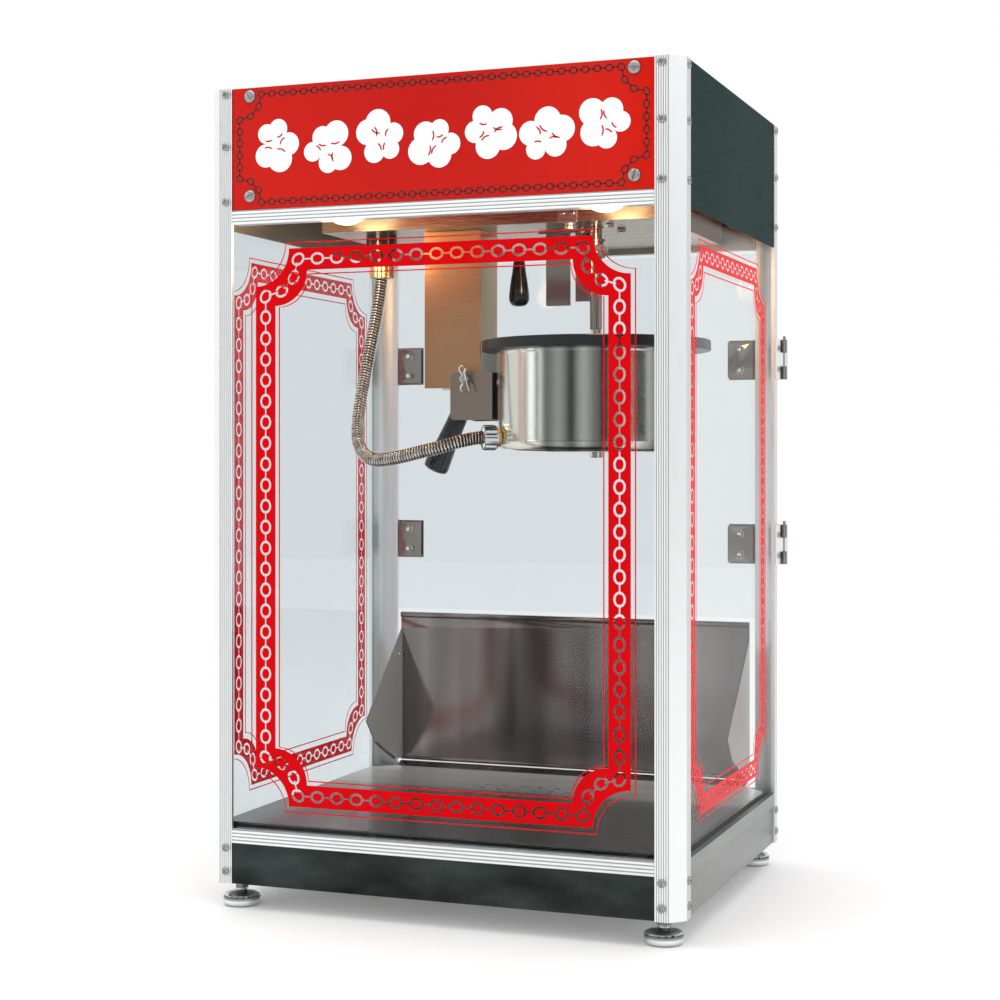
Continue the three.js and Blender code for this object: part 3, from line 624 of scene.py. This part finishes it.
def make_conduit(m):
    """Wound steel conduit: a helical ridge along the whole route."""
    per_turn = 6
    sides = 20
    path, _ = smooth_path([Vector(p) for p in CONDUIT_ROUTE], CONDUIT_PITCH / per_turn)
    along = np.arange(len(path))[:, None] / per_turn
    around = np.arange(sides)[None, :] / sides
    wave = 0.5 - 0.5 * np.cos(2 * math.pi * (along + around))
    shape = tube(path, CONDUIT_D / 2 - GROOVE_DEPTH * (1 - wave ** 0.5), sides)
    obj = as_object("conduit_winding", shape)
    finish_mesh(obj, m["conduit"], sharp=70)
    # The low half of each turn gets the dark groove material: painted shade in the grooves.
    obj.data.materials.append(m["groove"])
    low_half = np.zeros(len(obj.data.polygons), np.int32)
    low_half[:wave[:-1].size] = (wave[:-1] < 0.5).ravel()
    obj.data.polygons.foreach_set("material_index", low_half)
    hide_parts("conduit")
    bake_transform(obj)


# ---------------------------------------------------------------- printed borders

# Each pane's border: half width, half height and corner radius of its four lines.
FRONT_BORDER = [(205.7, 290.9, 39), (201, 285.3, 38), (178.5, 262.8, 36), (174, 258.5, 33)]
SIDE_BORDER = [(170.4, 286.3, 39), (165, 281.5, 38), (145.5, 262, 33), (140.5, 255.5, 32)]
PINSTRIPE = 1.2
LINK = (15.4, 12.6, 2.3)        # length, width and stroke of a chain link
LINK_PITCH = 22
LINK_BAR = (12, 1.5)
SIGN_LINK = (8.8, 7.2, 1.3)
SIGN_LINK_BAR = (6, 1.1)
SIGN_LINK_PITCH = 12
INK = 0.25


def scoops(half_x, half_z, radius, steps):
    """The quarter circles centred on a rectangle's corners, in order."""
    corners = [(half_x, half_z, 180), (half_x, -half_z, 90), (-half_x, -half_z, 0),
               (-half_x, half_z, -90)]
    return [arc(x, z, radius, start, start + 90, steps) for x, z, start in corners]


def border(half_x, half_z, radius):
    """A rectangle whose corners are scooped out by quarter circles centred on them."""
    return sum(scoops(half_x, half_z, radius, 12), [])


def chain(half_x, half_z, radius, pitch):
    """Centres and directions of the links along a scooped rectangle, and of the bars between."""
    turns = [[Vector(p) for p in scoop] for scoop in scoops(half_x, half_z, radius, 3)]
    spots = []
    for scoop, following in zip(turns, turns[1:] + turns[:1]):
        run = following[0] - scoop[-1]
        count = round(run.length / pitch)
        spots += scoop + [scoop[-1] + run * k / count for k in range(1, count)]
    links, bars = [], []
    for before, here, after in zip(spots[-1:] + spots[:-1], spots, spots[1:] + spots[:1]):
        ahead = after - before
        links.append((here, math.atan2(ahead.y, ahead.x)))
        step = after - here
        bars.append(((here + after) / 2, math.atan2(step.y, step.x)))
    return links, bars


def oval(length, width, steps=20):
    return [(length / 2 * math.cos(2 * math.pi * i / steps),
             width / 2 * math.sin(2 * math.pi * i / steps)) for i in range(steps)]


def strip(length, width):
    x, y = length / 2, width / 2
    return [(-x, -y), (x, -y), (x, y), (-x, y)]


def set_down(loop, centre, angle):
    c, s = math.cos(angle), math.sin(angle)
    return [(centre[0] + u * c - v * s, centre[1] + u * s + v * c) for u, v in loop]


def local(points, centre, angle):
    """Points in the frame of something set down at a centre and an angle."""
    c, s = math.cos(angle), math.sin(angle)
    dx, dy = points[:, 0] - centre[0], points[:, 1] - centre[1]
    return dx * c + dy * s, dy * c - dx * s


def glass_print(lines):
    """The printed border of one pane as a thin slab: two pinstripes and a band with an open chain."""
    outer_pin, band_out, band_in, inner_pin = lines
    middle_line = [(a + b) / 2 for a, b in zip(band_out, band_in)]
    links, bars = chain(*middle_line, LINK_PITCH)
    length, width, stroke = LINK
    hole = (length - 2 * stroke, width - 2 * stroke)
    loops = [border(*band_out), border(*band_in)]
    for centre, angle in links:
        loops.append(set_down(oval(length, width), centre, angle))
        loops.append(set_down(oval(*hole), centre, angle))
    loops += [set_down(strip(*LINK_BAR), centre, angle) for centre, angle in bars]

    def keep(at):
        printed = np.array([inside(loops[0], p) and not inside(loops[1], p) for p in at])
        for centre, angle in links:
            u, v = local(at, centre, angle)
            in_outer = (2 * u / length) ** 2 + (2 * v / width) ** 2 < 0.995
            in_hole = (2 * u / hole[0]) ** 2 + (2 * v / hole[1]) ** 2 < 0.995
            printed &= ~(in_outer & ~in_hole)
        for centre, angle in bars:
            u, v = local(at, centre, angle)
            printed &= ~((abs(u) < LINK_BAR[0] / 2) & (abs(v) < LINK_BAR[1] / 2))
        return printed

    whole = thick(*triangles(loops, keep), 0, INK)
    for half_x, half_z, radius in (outer_pin, inner_pin):
        outside = border(half_x + PINSTRIPE / 2, half_z + PINSTRIPE / 2, radius + PINSTRIPE / 4)
        within = border(half_x - PINSTRIPE / 2, half_z - PINSTRIPE / 2, radius - PINSTRIPE / 4)
        whole.add(slab(outside, [within], 0, INK))
    return whole


def make_prints(m):
    low, high = box_mm("glass_front")
    centre_z = (low.z + high.z) / 2
    front = glass_print(FRONT_BORDER)
    on_front = Shape([(p.x, low.y - 0.05 - p.z, centre_z + p.y) for p in front.points], front.faces)
    place("print_front", on_front, m["print"])
    side = glass_print(SIDE_BORDER)
    for label, sign in (("left", -1), ("right", 1)):
        low, high = box_mm("glass_" + label)
        outer = low.x if sign < 0 else high.x
        across = (low.y + high.y) / 2 - 3.6
        points = [(outer + sign * (0.05 + p.z), across + p.x, centre_z + p.y) for p in side.points]
        place("print_" + label, Shape(points, side.faces), m["side_print"])


# ---------------------------------------------------------------- the sign

KERNELS = 7
KERNEL_SPAN = 176               # from the middle of the sign to the outermost kernels
KERNEL_Z = 782.5


def kernel(seed):
    """A popped kernel seen from the front: overlapping round lobes, and creases between them."""
    turn = 47 * seed
    lobes = []
    for i in range(5):
        angle = math.radians(turn + 72 * i + 9 * math.sin(2.3 * i + seed))
        reach = 14.5 + 2.2 * math.sin(3.1 * i + 1.7 * seed)
        radius = 11.8 + 1.9 * math.sin(5.2 * i + 0.9 * seed)
        lobes.append((reach * math.cos(angle), reach * 1.12 * math.sin(angle), radius))
    lobes.append((0, 0, 11))
    loops = [arc(x, z, r, 0, 360 - 15, 23) for x, z, r in lobes]

    def keep(at):
        hits = [np.hypot(at[:, 0] - x, at[:, 1] - z) < r * 0.995 for x, z, r in lobes]
        return np.any(hits, axis=0)

    body = thick(*triangles(loops, keep), 0, INK)
    creases = Shape()
    for i, (x, z, radius) in enumerate(lobes[:5]):
        toward = math.degrees(math.atan2(-z, -x))
        swing = 38 if (i + seed) % 2 else -38
        curve = arc(x * 0.82, z * 0.82, radius * 0.62, toward + swing - 42, toward + swing + 42, 10)
        inner = arc(x * 0.82, z * 0.82, radius * 0.62 - 1.5, toward + swing - 30, toward + swing + 30, 10)
        creases.add(slab(curve + inner[::-1], [], INK, 2 * INK))
    return body, creases


def make_sign(m):
    low, high = box_mm("sign_panel")
    face = low.y - 0.02
    plate = block(low, high)
    place("sign_sheet", plate, m["sign"], stands_for=("sign_panel",), bevel=0.5)
    half_x, half_z = high.x - 8, (high.z - low.z) / 2 - 7.5
    centre = (low.z + high.z) / 2
    links, bars = chain(half_x, half_z, 25, SIGN_LINK_PITCH)
    length, width, stroke = SIGN_LINK
    link = slab(oval(length, width), [oval(length - 2 * stroke, width - 2 * stroke)], 0, INK)
    rod = slab(strip(*SIGN_LINK_BAR), [], 0, INK)
    line = Shape()
    for kind, spots in ((link, links), (rod, bars)):
        for at, angle in spots:
            line.add(kind.moved((at.x, at.y, 0), turn=math.degrees(angle)))
    line = Shape([(p.x, p.y + centre, p.z) for p in line.points], line.faces)
    place("sign_chain", upright(line, face), m["ink"])
    bodies, creases = Shape(), Shape()
    for i in range(KERNELS):
        x = KERNEL_SPAN * (2 * i / (KERNELS - 1) - 1)
        body, lines = kernel(i)
        at = (x, KERNEL_Z + 4 * (-1) ** i, 0)
        bodies.add(body.moved(at))
        creases.add(lines.moved(at))
    place("sign_kernels", upright(bodies, face), m["white"])
    place("sign_creases", upright(creases, face), m["sign"])
    head = slotted_screw(13, 3.2)
    screws = Shape()
    for x in (low.x + 20, high.x - 20):
        for z in (high.z - 9, low.z + 14):
            screws.add(head.moved((x, face, z), up=(0, -1, 0), turn=35 + x / 9 + z))
    place("sign_screws", screws, m["screw"], sharp=40)


# ---------------------------------------------------------------- fasteners

def slotted_screw(diameter, height):
    r = diameter / 2
    head = lathe([(0, 0), (r, 0), (r, height * 0.35), (r * 0.93, height * 0.6), (r * 0.7, height * 0.86),
                  (r * 0.35, height * 0.97), (0, height)], 28)
    return carve(head, [block((-r * 1.1, -0.8, height * 0.5), (r * 1.1, 0.8, height + 1))])


def cross_screw(diameter, height):
    r = diameter / 2
    head = lathe([(0, 0), (r, 0), (r, height * 0.3), (r * 0.94, height * 0.6), (r * 0.72, height * 0.88),
                  (r * 0.36, height * 0.98), (0, height)], 22)
    reach, half = r * 0.56, r * 0.13
    slots = [block((-reach, -half, height * 0.35), (reach, half, height + 1)),
             block((-half, -reach, height * 0.35), (half, reach, height + 1))]
    return carve(head, slots)


def hex_prism(across, low, high, chamfer=0.6):
    r = across / math.sqrt(3)
    return lathe([(0, low), (r - chamfer, low), (r, low + chamfer), (r, high - chamfer),
                  (r - chamfer, high), (0, high)], 6)


def cap_nut(across, height):
    """A hexagonal nut with a domed cap."""
    r = across * 0.46
    hexed = hex_prism(across, 0, height * 0.45, 0.4)
    dome = lathe([(0, height * 0.4), (r, height * 0.4)]
                 + [(x, height * 0.45 + y * 0.55 * height / r) for x, y in arc(0, 0, r, 0, 90, 6)], 20)
    return total([hexed, dome])


POST_SCREW_Z = (841, 787, 730, 63, 39)
FLANGE = 14
POST_FACE = 28
FRAME_SIDE, FRAME_FRONT, FRAME_REAR = 254, -220, 210


def make_post_screws(m):
    head = cross_screw(8.5, 2.4)
    for end in ("front", "rear"):
        for label, side in (("left", -1), ("right", 1)):
            outer = side * FRAME_SIDE
            plane = FRAME_FRONT if end == "front" else FRAME_REAR
            facing = -1 if end == "front" else 1
            mid = POST_FACE - FLANGE / 2
            screws = Shape()
            for i, z in enumerate(POST_SCREW_Z):
                screws.add(head.moved((outer - side * mid, plane, z), up=(0, facing, 0), turn=31 * i + 20))
                screws.add(head.moved((outer, plane - facing * mid, z), up=(side, 0, 0), turn=47 * i + 5))
            place(f"post_{end}_{label}_screws", screws, m["screw"], sharp=40)


# ---------------------------------------------------------------- kettle and its fittings

def make_feet(m):
    profile = [(0, 0), (15.2, 0), (17.6, 0.6), (18.9, 1.9), (19.25, 3.4), (19.25, 9.6), (18.7, 11.2),
               (17.4, 12.3), (13, 13.6), (7.4, 14.8), (5.6, 15.6), (5, 17), (5, 26.5), (0, 26.5)]
    nut = hex_prism(13, 17.5, 22.5)
    for end in ("front", "rear"):
        for label in ("left", "right"):
            node = f"foot_{end}_{label}"
            at = middle(node)
            shape = total([lathe(profile, 56), nut]).moved((at.x, at.y, 0))
            place(node + "_turned", shape, m["foot"], stands_for=(node,), sharp=28)


SHELL_SCREW_AT = 207            # degrees round the kettle, beside the yoke


def make_kettle(m):
    bottom, top = 472, box_mm("kettle_drum")[1].z
    r = DRUM_RADIUS
    outer = [(0, bottom), (r - 13.5, bottom)]
    outer += [(r - 13.5 + 13.5 * math.sin(math.radians(a)), bottom + 12 - 12 * math.cos(math.radians(a)))
              for a in range(10, 91, 10)]
    outer += [(r, 500), (r, top - 4), (r + 0.9, top - 2.4), (r + 0.9, top)]
    inner = [(r - 1.4, top), (r - 1.4, 494), (r - 6, 486), (r - 12, 484), (0, 484)]
    nut = hex_prism(14, 466.2, bottom + 0.3)
    seam = lathe([(r - 0.2, 482.6), (r + 0.25, 483), (r + 0.25, 483.8), (r - 0.2, 484.2)], 96, closed=True)
    drum = total([lathe(outer + inner, 128), nut, seam]).moved(KETTLE_AXIS)
    place("kettle_shell", drum, m["drum"], "kettle", ("kettle_drum",), sharp=25)
    around = math.radians(SHELL_SCREW_AT)
    out = Vector((math.cos(around), math.sin(around), 0))
    at = KETTLE_AXIS + Vector((0, 0, 546)) + out * (r - 0.2)
    screw = cross_screw(5.5, 1.6).moved(at, up=out, turn=25)
    place("shell_screw", screw, m["screw"], "kettle", sharp=40)


def make_lid(m):
    top = box_mm("kettle_lid")[1].z
    base = 579.3
    ring_in, ring_out = 100.5, 122
    ring = [(ring_in, base), (ring_out - 1, base), (ring_out, base + 1), (ring_out, top - 1),
            (ring_out - 1, top), (ring_out - 5, top), (ring_out - 5.8, top - 0.8),
            (ring_out - 5.8, top - 2.4), (ring_in, top - 2.4)]
    hoop = lathe(ring, 128, closed=True).moved(KETTLE_AXIS)
    disc = [(11, top - 2.6), (121, top - 2.6), (121, top), (11, top)]
    whole = lathe(disc, 96, closed=True).moved(KETTLE_AXIS)
    half = carve(whole, [block((118.8, -400, 500), (500, 400, 700))])
    place("kettle_cover", total([hoop, half]), m["lid"], "kettle", ("kettle_lid",), sharp=25)
    leaf = lathe([(0, top - 2.2), (115.4, top - 2.2), (115.6, top - 1.9), (115.6, top - 0.3),
                  (115.3, top), (0, top)], 96).moved(KETTLE_AXIS)
    flap = carve(leaf, [block((-400, -400, 500), (120, 400, 700))])
    grip = lathe([(0, top - 1), (5, top - 1), (5, top + 5), (5.6, top + 9), (7, top + 11.5),
                  (6.6, top + 13.4), (4, top + 14), (0, top + 14)], 32)
    grip = grip.moved(KETTLE_AXIS + Vector((96, 0, 0)))
    for y in (-75, 25):
        flap.add(block((117.5, y - 11, top - 0.4), (128, y + 11, top + 0.6)))
    place("lid_leaf", total([flap, grip]), m["lid"], "lid_flap", ("lid_flap",), sharp=25)


def make_yoke(m):
    hanger = refine("kettle_hanger", m["hanger"], "root", 0.5)
    # Front plate warm, rear plate cool: painted lamp light and shade on one steel part.
    two_tone(hanger, m["hanger_rear"], lambda face: face.center.y > -10 * MM)
    refine("kettle_yoke", m["yoke"], "kettle", 0.4)
    pin = [(0, 0), (3.4, 0), (4, 0.6), (4, 71.4), (7.4, 71.4), (7.4, 74), (6.6, 75), (0, 75)]
    x, z = TILT_PIN
    shape = lathe(pin, 32).moved((x, -66, z), up=(0, 1, 0))
    place("tilt_pin", shape, m["steel_y"], "kettle", ("pivot_pin",))
    loop = arc(-1.5, 9.5, 3.5, -55, 240, 14)
    bent = [(6.4, -14), (4.4, -8), (2.2, -1), (0.9, 4.4), *loop, (-1.9, 3.4), (-4.3, -1), (-1.2, -6),
            (-3.6, -10.5), (-1.4, -15)]
    clip = [(x + u, -66.6 - 0.12 * abs(v), z + v) for u, v in bent]
    path, _ = smooth_path([Vector(p) for p in clip], 0.7)
    place("hairpin", tube(path, 1.05, 10), m["chrome"], "kettle")
    washer = lathe([(4.2, 0), (7.5, 0), (7.5, 1), (4.2, 1)], 32, closed=True)
    place("pin_washer", washer.moved((x, -57.2, z), up=(0, -1, 0)), m["yoke"], "kettle")


def make_dump_handle(m):
    """A tapered grip on a stud from the yoke, in line with the CAD handle."""
    start, end = Vector(HANDLE_TOP), Vector(HANDLE_END)
    along = (end - start).length
    grip = [(0, 0), (6.5, 0), (9.2, 1.6), (10.4, 4.5), (10.6, 12), (11.6, 0.5 * along),
            (13.2, 0.78 * along), (13.9, 0.9 * along), (13.2, 0.965 * along), (10.5, 0.99 * along),
            (6, along), (0, along)]
    shape = lathe(grip, 48).moved(start, up=end - start)
    collar = lathe([(0, 0), (7, 0), (7, 9.4), (6.4, 10), (0, 10)], 32).moved(start, up=(1, 0, 0))
    place("tilt_handle", total([shape, collar]), m["black"], "kettle", ("dump_handle",))


def notched_nut(r, low, high, teeth, bore):
    """A ring nut whose outside has grip notches."""
    outline = []
    for i in range(teeth * 4):
        angle = 2 * math.pi * i / (teeth * 4)
        reach = r if i % 4 in (1, 2) else r - 1.3
        outline.append((reach * math.cos(angle), reach * math.sin(angle)))
    return slab(outline, [arc(0, 0, bore, 0, 352, 44)], low, high)


def make_connector(m):
    angle = math.radians(215)
    out = Vector((math.cos(angle), math.sin(angle), 0))
    axis = KETTLE_AXIS + Vector((0, 0, 487.2))
    root = axis + out * (DRUM_RADIUS + 0.4)
    base = lathe([(0, 0), (10, 0), (10, 2), (9.2, 3), (9.2, 8), (0, 8)], 36)
    place("connector_base", base.moved(root, up=out), m["brass"], "kettle")
    nut = notched_nut(13.5, 0, 12.4, 12, 8.2)
    face = lathe([(7.4, 12.4), (12, 12.4), (12, 13), (8.6, 14.2), (7.4, 14.2)], 40, closed=True)
    lip = lathe([(7.4, -1.4), (12.4, -1.4), (12.4, 0), (7.4, 0)], 40, closed=True)
    at = axis + out * 111.4
    shape = total([nut, face, lip]).moved(at, up=out)
    place("connector_nut", shape, m["chrome"], "kettle", ("kettle_connector",))


def make_gland(m):
    at = Vector((*CONDUIT_ROUTE[0][:2], 0))
    collar = lathe([(8.4, 692), (15.6, 692), (17, 693.4), (17, 711.7), (8.4, 711.7)], 48, closed=True)
    place("gland_collar", collar.moved(at), m["black"], "root")
    waist = lathe([(8.3, 678), (10.5, 678), (12, 680), (12, 691.9), (8.3, 691.9)], 40, closed=True)
    nut = notched_nut(13.5, 665, 677.8, 12, 8.3)
    place("gland_waist", waist.moved(at), m["black"], "root")
    place("gland_nut", nut.moved(at), m["brass"], "root", ("conduit_gland",))


def make_drive(m):
    top = box_mm("drive_shaft")[1].z
    shaft = [(0, 603), (6, 603), (6.5, 603.6), (6.5, top), (0, top)]
    place("shaft_turned", lathe(shaft, 36).moved(KETTLE_AXIS), m["shaft"], "drive",
          ("drive_shaft",))
    spool = [(6.9, 679), (9.6, 679), (10, 679.4), (10, 681.6), (9.6, 682), (8, 682), (8, 696), (9.6, 696),
             (10, 696.4), (10, 698.6), (9.6, 699), (6.9, 699)]
    place("collar_turned", lathe(spool, 36, closed=True).moved(KETTLE_AXIS), m["shaft"], "lift_carriage",
          ("lift_collar",))
    knob = [(0, 632), (5, 632.3), (8.4, 634), (10.6, 637.4), (11.3, 642), (10.6, 650), (9.2, 660),
            (7.8, 668), (6.9, 675), (6.2, 681), (5, 684.6), (3, 685.6), (0, 685.6)]
    place("knob_turned", lathe(knob, 40).moved(KNOB_AT), m["black"], "lift_lever",
          ("lever_knob",))
    refine("lift_lever", m["steel_x"], "lift_lever", 0.3)
    refine("lift_bracket", m["bracket"], "root", 0.3)
    head = cross_screw(6, 2)
    screws = total([head.moved((x, 5, 704), up=(0, -1, 0), turn=20) for x in (46, 60)])
    place("bracket_screws", screws, m["chrome"], sharp=40)
    make_box_fittings(m)


def make_box_fittings(m):
    """The rating plate on the drive box's front, without lettering, and the bolts beneath the box."""
    low, _ = box_mm("drive_box")
    plate = block((82, low.y - 0.8, 711), (103, low.y, 727))
    place("rating_plate", plate, m["steel_x"], bevel=0.3)
    head = cross_screw(4.6, 1.4)
    heads = total([head.moved((x, low.y - 0.8, 721), up=(0, -1, 0), turn=x) for x in (87.3, 98.3)])
    place("rating_plate_screws", heads, m["screw"], sharp=40)
    bolt = hex_prism(8, 0, 4)
    bolts = total([bolt.moved(KETTLE_AXIS + Vector((22 * c, 22 * d, low.z)), up=(0, 0, -1))
                   for c, d in ((-1, -1), (1, -1), (-1, 1), (1, 1))])
    place("motor_bolts", bolts, m["screw"])


def make_lamps(m):
    for label in ("left", "right"):
        at = middle("bulb_" + label)
        globe = [(31 * math.cos(math.radians(a)), 746 + 31 * math.sin(math.radians(a)))
                 for a in range(-90, 60, 6)]
        globe[0] = (0, 715)
        neck = [(14.2, 775), (13, 779), (13, 794), (0, 794)]
        place(f"bulb_{label}_globe", lathe(globe + neck, 48).moved((at.x, at.y, 0)), m["lamp"],
              stands_for=("bulb_" + label,))
        paint(m["ceramic"], "lamp_holder_" + label)


# ---------------------------------------------------------------- sheet metal and frame

CHUTE_SCREW = (194, 224)        # along Y and Z, in both side plates


def in_groove(face):
    """Whether a face is a steep flank of the grooves between the ribs."""
    steepest = max(abs(v) for v in face.normal)
    return 0.8 < steepest < 0.97


def faces_inward(face):
    """Whether a face of the rear rails is a groove's flank, or can be seen from inside."""
    return in_groove(face) or face.normal.y < -0.9 or face.normal.z > 0.9


def make_frame(m):
    for end in ("front", "rear"):
        for label in ("left", "right"):
            post = refine(f"post_{end}_{label}", m["aluminium"], "root", 0)
            two_tone(post, m["rib"], in_groove)
        for tier in ("lower", "upper"):
            rail = refine(f"rail_{end}_{tier}", m["rail"], "root", 0)
            two_tone(rail, m["rib"], in_groove if end == "front" else faces_inward)
    for label in ("left", "right"):
        refine("sill_" + label, m["sill"], "root", 0.3)
        side = refine("header_" + label, m["header"], "root", 0.4)
        # Inner faces get the tan steel: painted warm lamp light on the same sheet.
        two_tone(side, m["tan"], lambda face: abs(face.center.x) < 252 * MM)
    refine("skirt_front", m["skirt"], "root", 0.3)
    refine("skirt_rear", m["steel_x"], "root", 0.3)
    refine("header_rear", m["steel_x"], "root", 0.3)
    paint(m["steel_x"], "roof", "base_plate")
    refine("drive_box", m["box"], "root", 0.5)
    paint(m["steel_y"], "gear_motor")
    paint(m["glass"], "glass_front")
    paint(m["side_glass"], "glass_left", "glass_right")
    paint(m["acrylic"], "door_left", "door_right")


def make_deck(m):
    """The deck, and the cove that closes the gap behind it up to the chute's foot."""
    paint(m["deck"], "deck")
    deck_top = box_mm("deck")[1].z
    front, rear, rise = 183, 200.5, 3.9
    curve = [math.sin(math.radians(a)) for a in range(0, 90, 15)]
    cove = [(front, deck_top + 0.05), (rear, deck_top + 0.05)]
    cove += [(rear - (rear - front) * s, deck_top + 4 - rise * s) for s in curve]
    half = box_mm("serving_chute")[1].x - 1
    section = slab(cove, [], -half, half)
    across = Shape([(p.z, p.x, p.y) for p in section.points], section.faces)
    place("deck_cove", across, m["chute"])


def make_chute(m):
    chute = refine("serving_chute", m["chute"], "chute", 0.3)
    # The side plates get the lighter kite steel: painted light on the same sheet.
    two_tone(chute, m["kite"], lambda face: abs(face.normal.x) > 0.9 and face.center.y < 202 * MM)
    head = cross_screw(6.5, 2)
    inner = box_mm("serving_chute")[1].x - 1.5
    heads = total([head.moved((side * inner, *CHUTE_SCREW), up=(-side, 0, 0)) for side in (-1, 1)])
    place("chute_screws", heads, m["chrome"], "chute", sharp=40)
    hem = np.array([(0, 123.5, 124.5), (0, 151, 110.5), (0, 179, 97.5)])
    hems = total([tube(hem + (side * (inner + 0.75), 0, 0), 1.8, 12) for side in (-1, 1)])
    place("chute_hems", hems, m["chute"], "chute", sharp=40)


def make_controls(m):
    """Everything that the CAD shapes already serve well: drawer, agitator, inlet and switches."""
    refine("crumb_drawer", m["steel_x"], "drawer", 0.3)
    paint(m["drum"], "agitator")
    paint(m["rubber"], "power_inlet")
    for node_name, mat, slot in (("switch_heat", "black", "black_plastic"),
                                 ("switch_motor", "black", "black_plastic"),
                                 ("switch_lights", "rocker", "red_acrylic")):
        refine(node_name, m[mat], node_name, 0.5)


HINGE_TIERS = (("lower", 366), ("upper", 580))
HINGE_SCREW = 12                # above and below each hinge's middle
DOOR_SCREW_X = 209
DOOR_FACES = (213.7, 203.9)     # along Y, under the screws' heads and under the nuts
FRAME_SCREW_X, FRAME_SCREW_Y = 255.9, 193


def make_hinges(m):
    """The hinges, with two screws and acorn nuts through each door half, and screws in the frame half."""
    screw, nut = cross_screw(7, 2.2), cap_nut(9, 6.2)
    outer, inner = DOOR_FACES
    for label, side in (("left", -1), ("right", 1)):
        body = "door_" + label
        for tier, z in HINGE_TIERS:
            name = f"hinge_{label}_{tier}"
            refine(name, m["hinge"], body, 0.3)
            heads, nuts, frame_heads = Shape(), Shape(), Shape()
            for dz in (-HINGE_SCREW, HINGE_SCREW):
                heads.add(screw.moved((side * DOOR_SCREW_X, outer, z + dz), up=(0, 1, 0), turn=40 + dz))
                nuts.add(nut.moved((side * DOOR_SCREW_X, inner, z + dz), up=(0, -1, 0), turn=dz))
                at = (side * FRAME_SCREW_X, FRAME_SCREW_Y, z + dz)
                frame_heads.add(screw.moved(at, up=(side, 0, 0), turn=15 + dz))
            place(name + "_screws", heads, m["chrome"], body, sharp=40)
            place(name + "_nuts", nuts, m["chrome"], body, sharp=40)
            place(name + "_frame_screws", frame_heads, m["screw"], "root", sharp=40)


# ---------------------------------------------------------------- studio

STUDIO_LIGHTS = {                # place and target in metres, width and height, and power
    "overhead": ((0.0, -0.5, 2.4), (0, 0, 0.4), (2.2, 1.6), 14),
    "left": ((-2.2, -1.6, 1.2), (0, 0, 0.45), (1.0, 2.0), 6),
    "right": ((2.4, -0.6, 1.2), (0, 0, 0.45), (1.2, 2.0), 4),
}
LAMP_X, LAMP_Y, LAMP_Z = 0.145, -0.125, 0.695
LAMP_POWER = 0.5
LAMP_COLOR = (1, 0.66, 0.34)
STUDIO_REACH = 6000             # half the side of the floor
CARDS = ((219, 3), (262, 3), (300, 4), (338, 8))    # bearing and half width, in degrees
CARD_RADIUS = 2600
CARD_Z = (150, 1500)


def add_light(name, kind, at, power):
    data = bpy.data.lights.new(name, kind)
    data.energy = power
    light = bpy.data.objects.new(name, data)
    light.location = at
    bpy.context.scene.collection.objects.link(light)
    return light


def area_light(name, at, target, size, power):
    light = add_light(name, "AREA", at, power)
    light.data.shape = "RECTANGLE"
    light.data.size, light.data.size_y = size
    light.rotation_euler = (Vector(target) - Vector(at)).to_track_quat("-Z", "Y").to_euler()
    light.visible_camera = False


def lamp_glow(name, at):
    """The warm light that a lamp throws on the header's inside."""
    light = add_light(name, "POINT", at, LAMP_POWER)
    light.data.color = LAMP_COLOR
    light.data.shadow_soft_size = 0.02


def make_studio():
    world = bpy.data.worlds.new("studio")
    world.use_nodes = True
    world.node_tree.nodes["Background"].inputs["Color"].default_value = (1, 1, 1, 1)
    world.node_tree.nodes["Background"].inputs["Strength"].default_value = 1.0
    bpy.context.scene.world = world
    bpy.context.scene.view_settings.view_transform = "Standard"

    floor_mat = plain("studio_floor", (0.93, 0.93, 0.93), 0.7, 3, 0.65, 0.75,
                      Emission_Color=(1, 1, 1, 1), Emission_Strength=0.1)
    far = STUDIO_REACH
    corners = [(-far, -far, 0), (far, -far, 0), (far, far, 0), (-far, far, 0)]
    floor = as_object("floor", Shape(corners, [(0, 1, 2, 3)]))
    finish_mesh(floor, floor_mat)

    for name, (at, target, size, power) in STUDIO_LIGHTS.items():
        area_light(name, at, target, size, power)
    lamp_glow("lamp_left", (-LAMP_X, LAMP_Y, LAMP_Z))
    lamp_glow("lamp_right", (LAMP_X, LAMP_Y, LAMP_Z))

    card_mat = plain("studio_card", (0.02, 0.02, 0.02), 0.8, 3, 0.75, 0.85)
    for i, (bearing, half) in enumerate(CARDS):
        angles = [math.radians(bearing + half * s) for s in (-1, 1)]
        points = [(CARD_RADIUS * math.cos(a), CARD_RADIUS * math.sin(a), z) for z in CARD_Z
                  for a in angles]
        card = as_object(f"studio_card_{i}", Shape(points, [(0, 1, 3, 2)]))
        finish_mesh(card, card_mat)
        card.visible_camera = False
        card.visible_shadow = False
        card.visible_diffuse = False


# ---------------------------------------------------------------- the object

make_camera()
materials = make_materials()
make_conduit(materials)
make_frame(materials)
make_deck(materials)
make_chute(materials)
make_controls(materials)
make_hinges(materials)
make_prints(materials)
make_sign(materials)
make_post_screws(materials)
make_feet(materials)
make_kettle(materials)
make_lid(materials)
make_yoke(materials)
make_dump_handle(materials)
make_connector(materials)
make_gland(materials)
make_drive(materials)
make_lamps(materials)
make_studio()
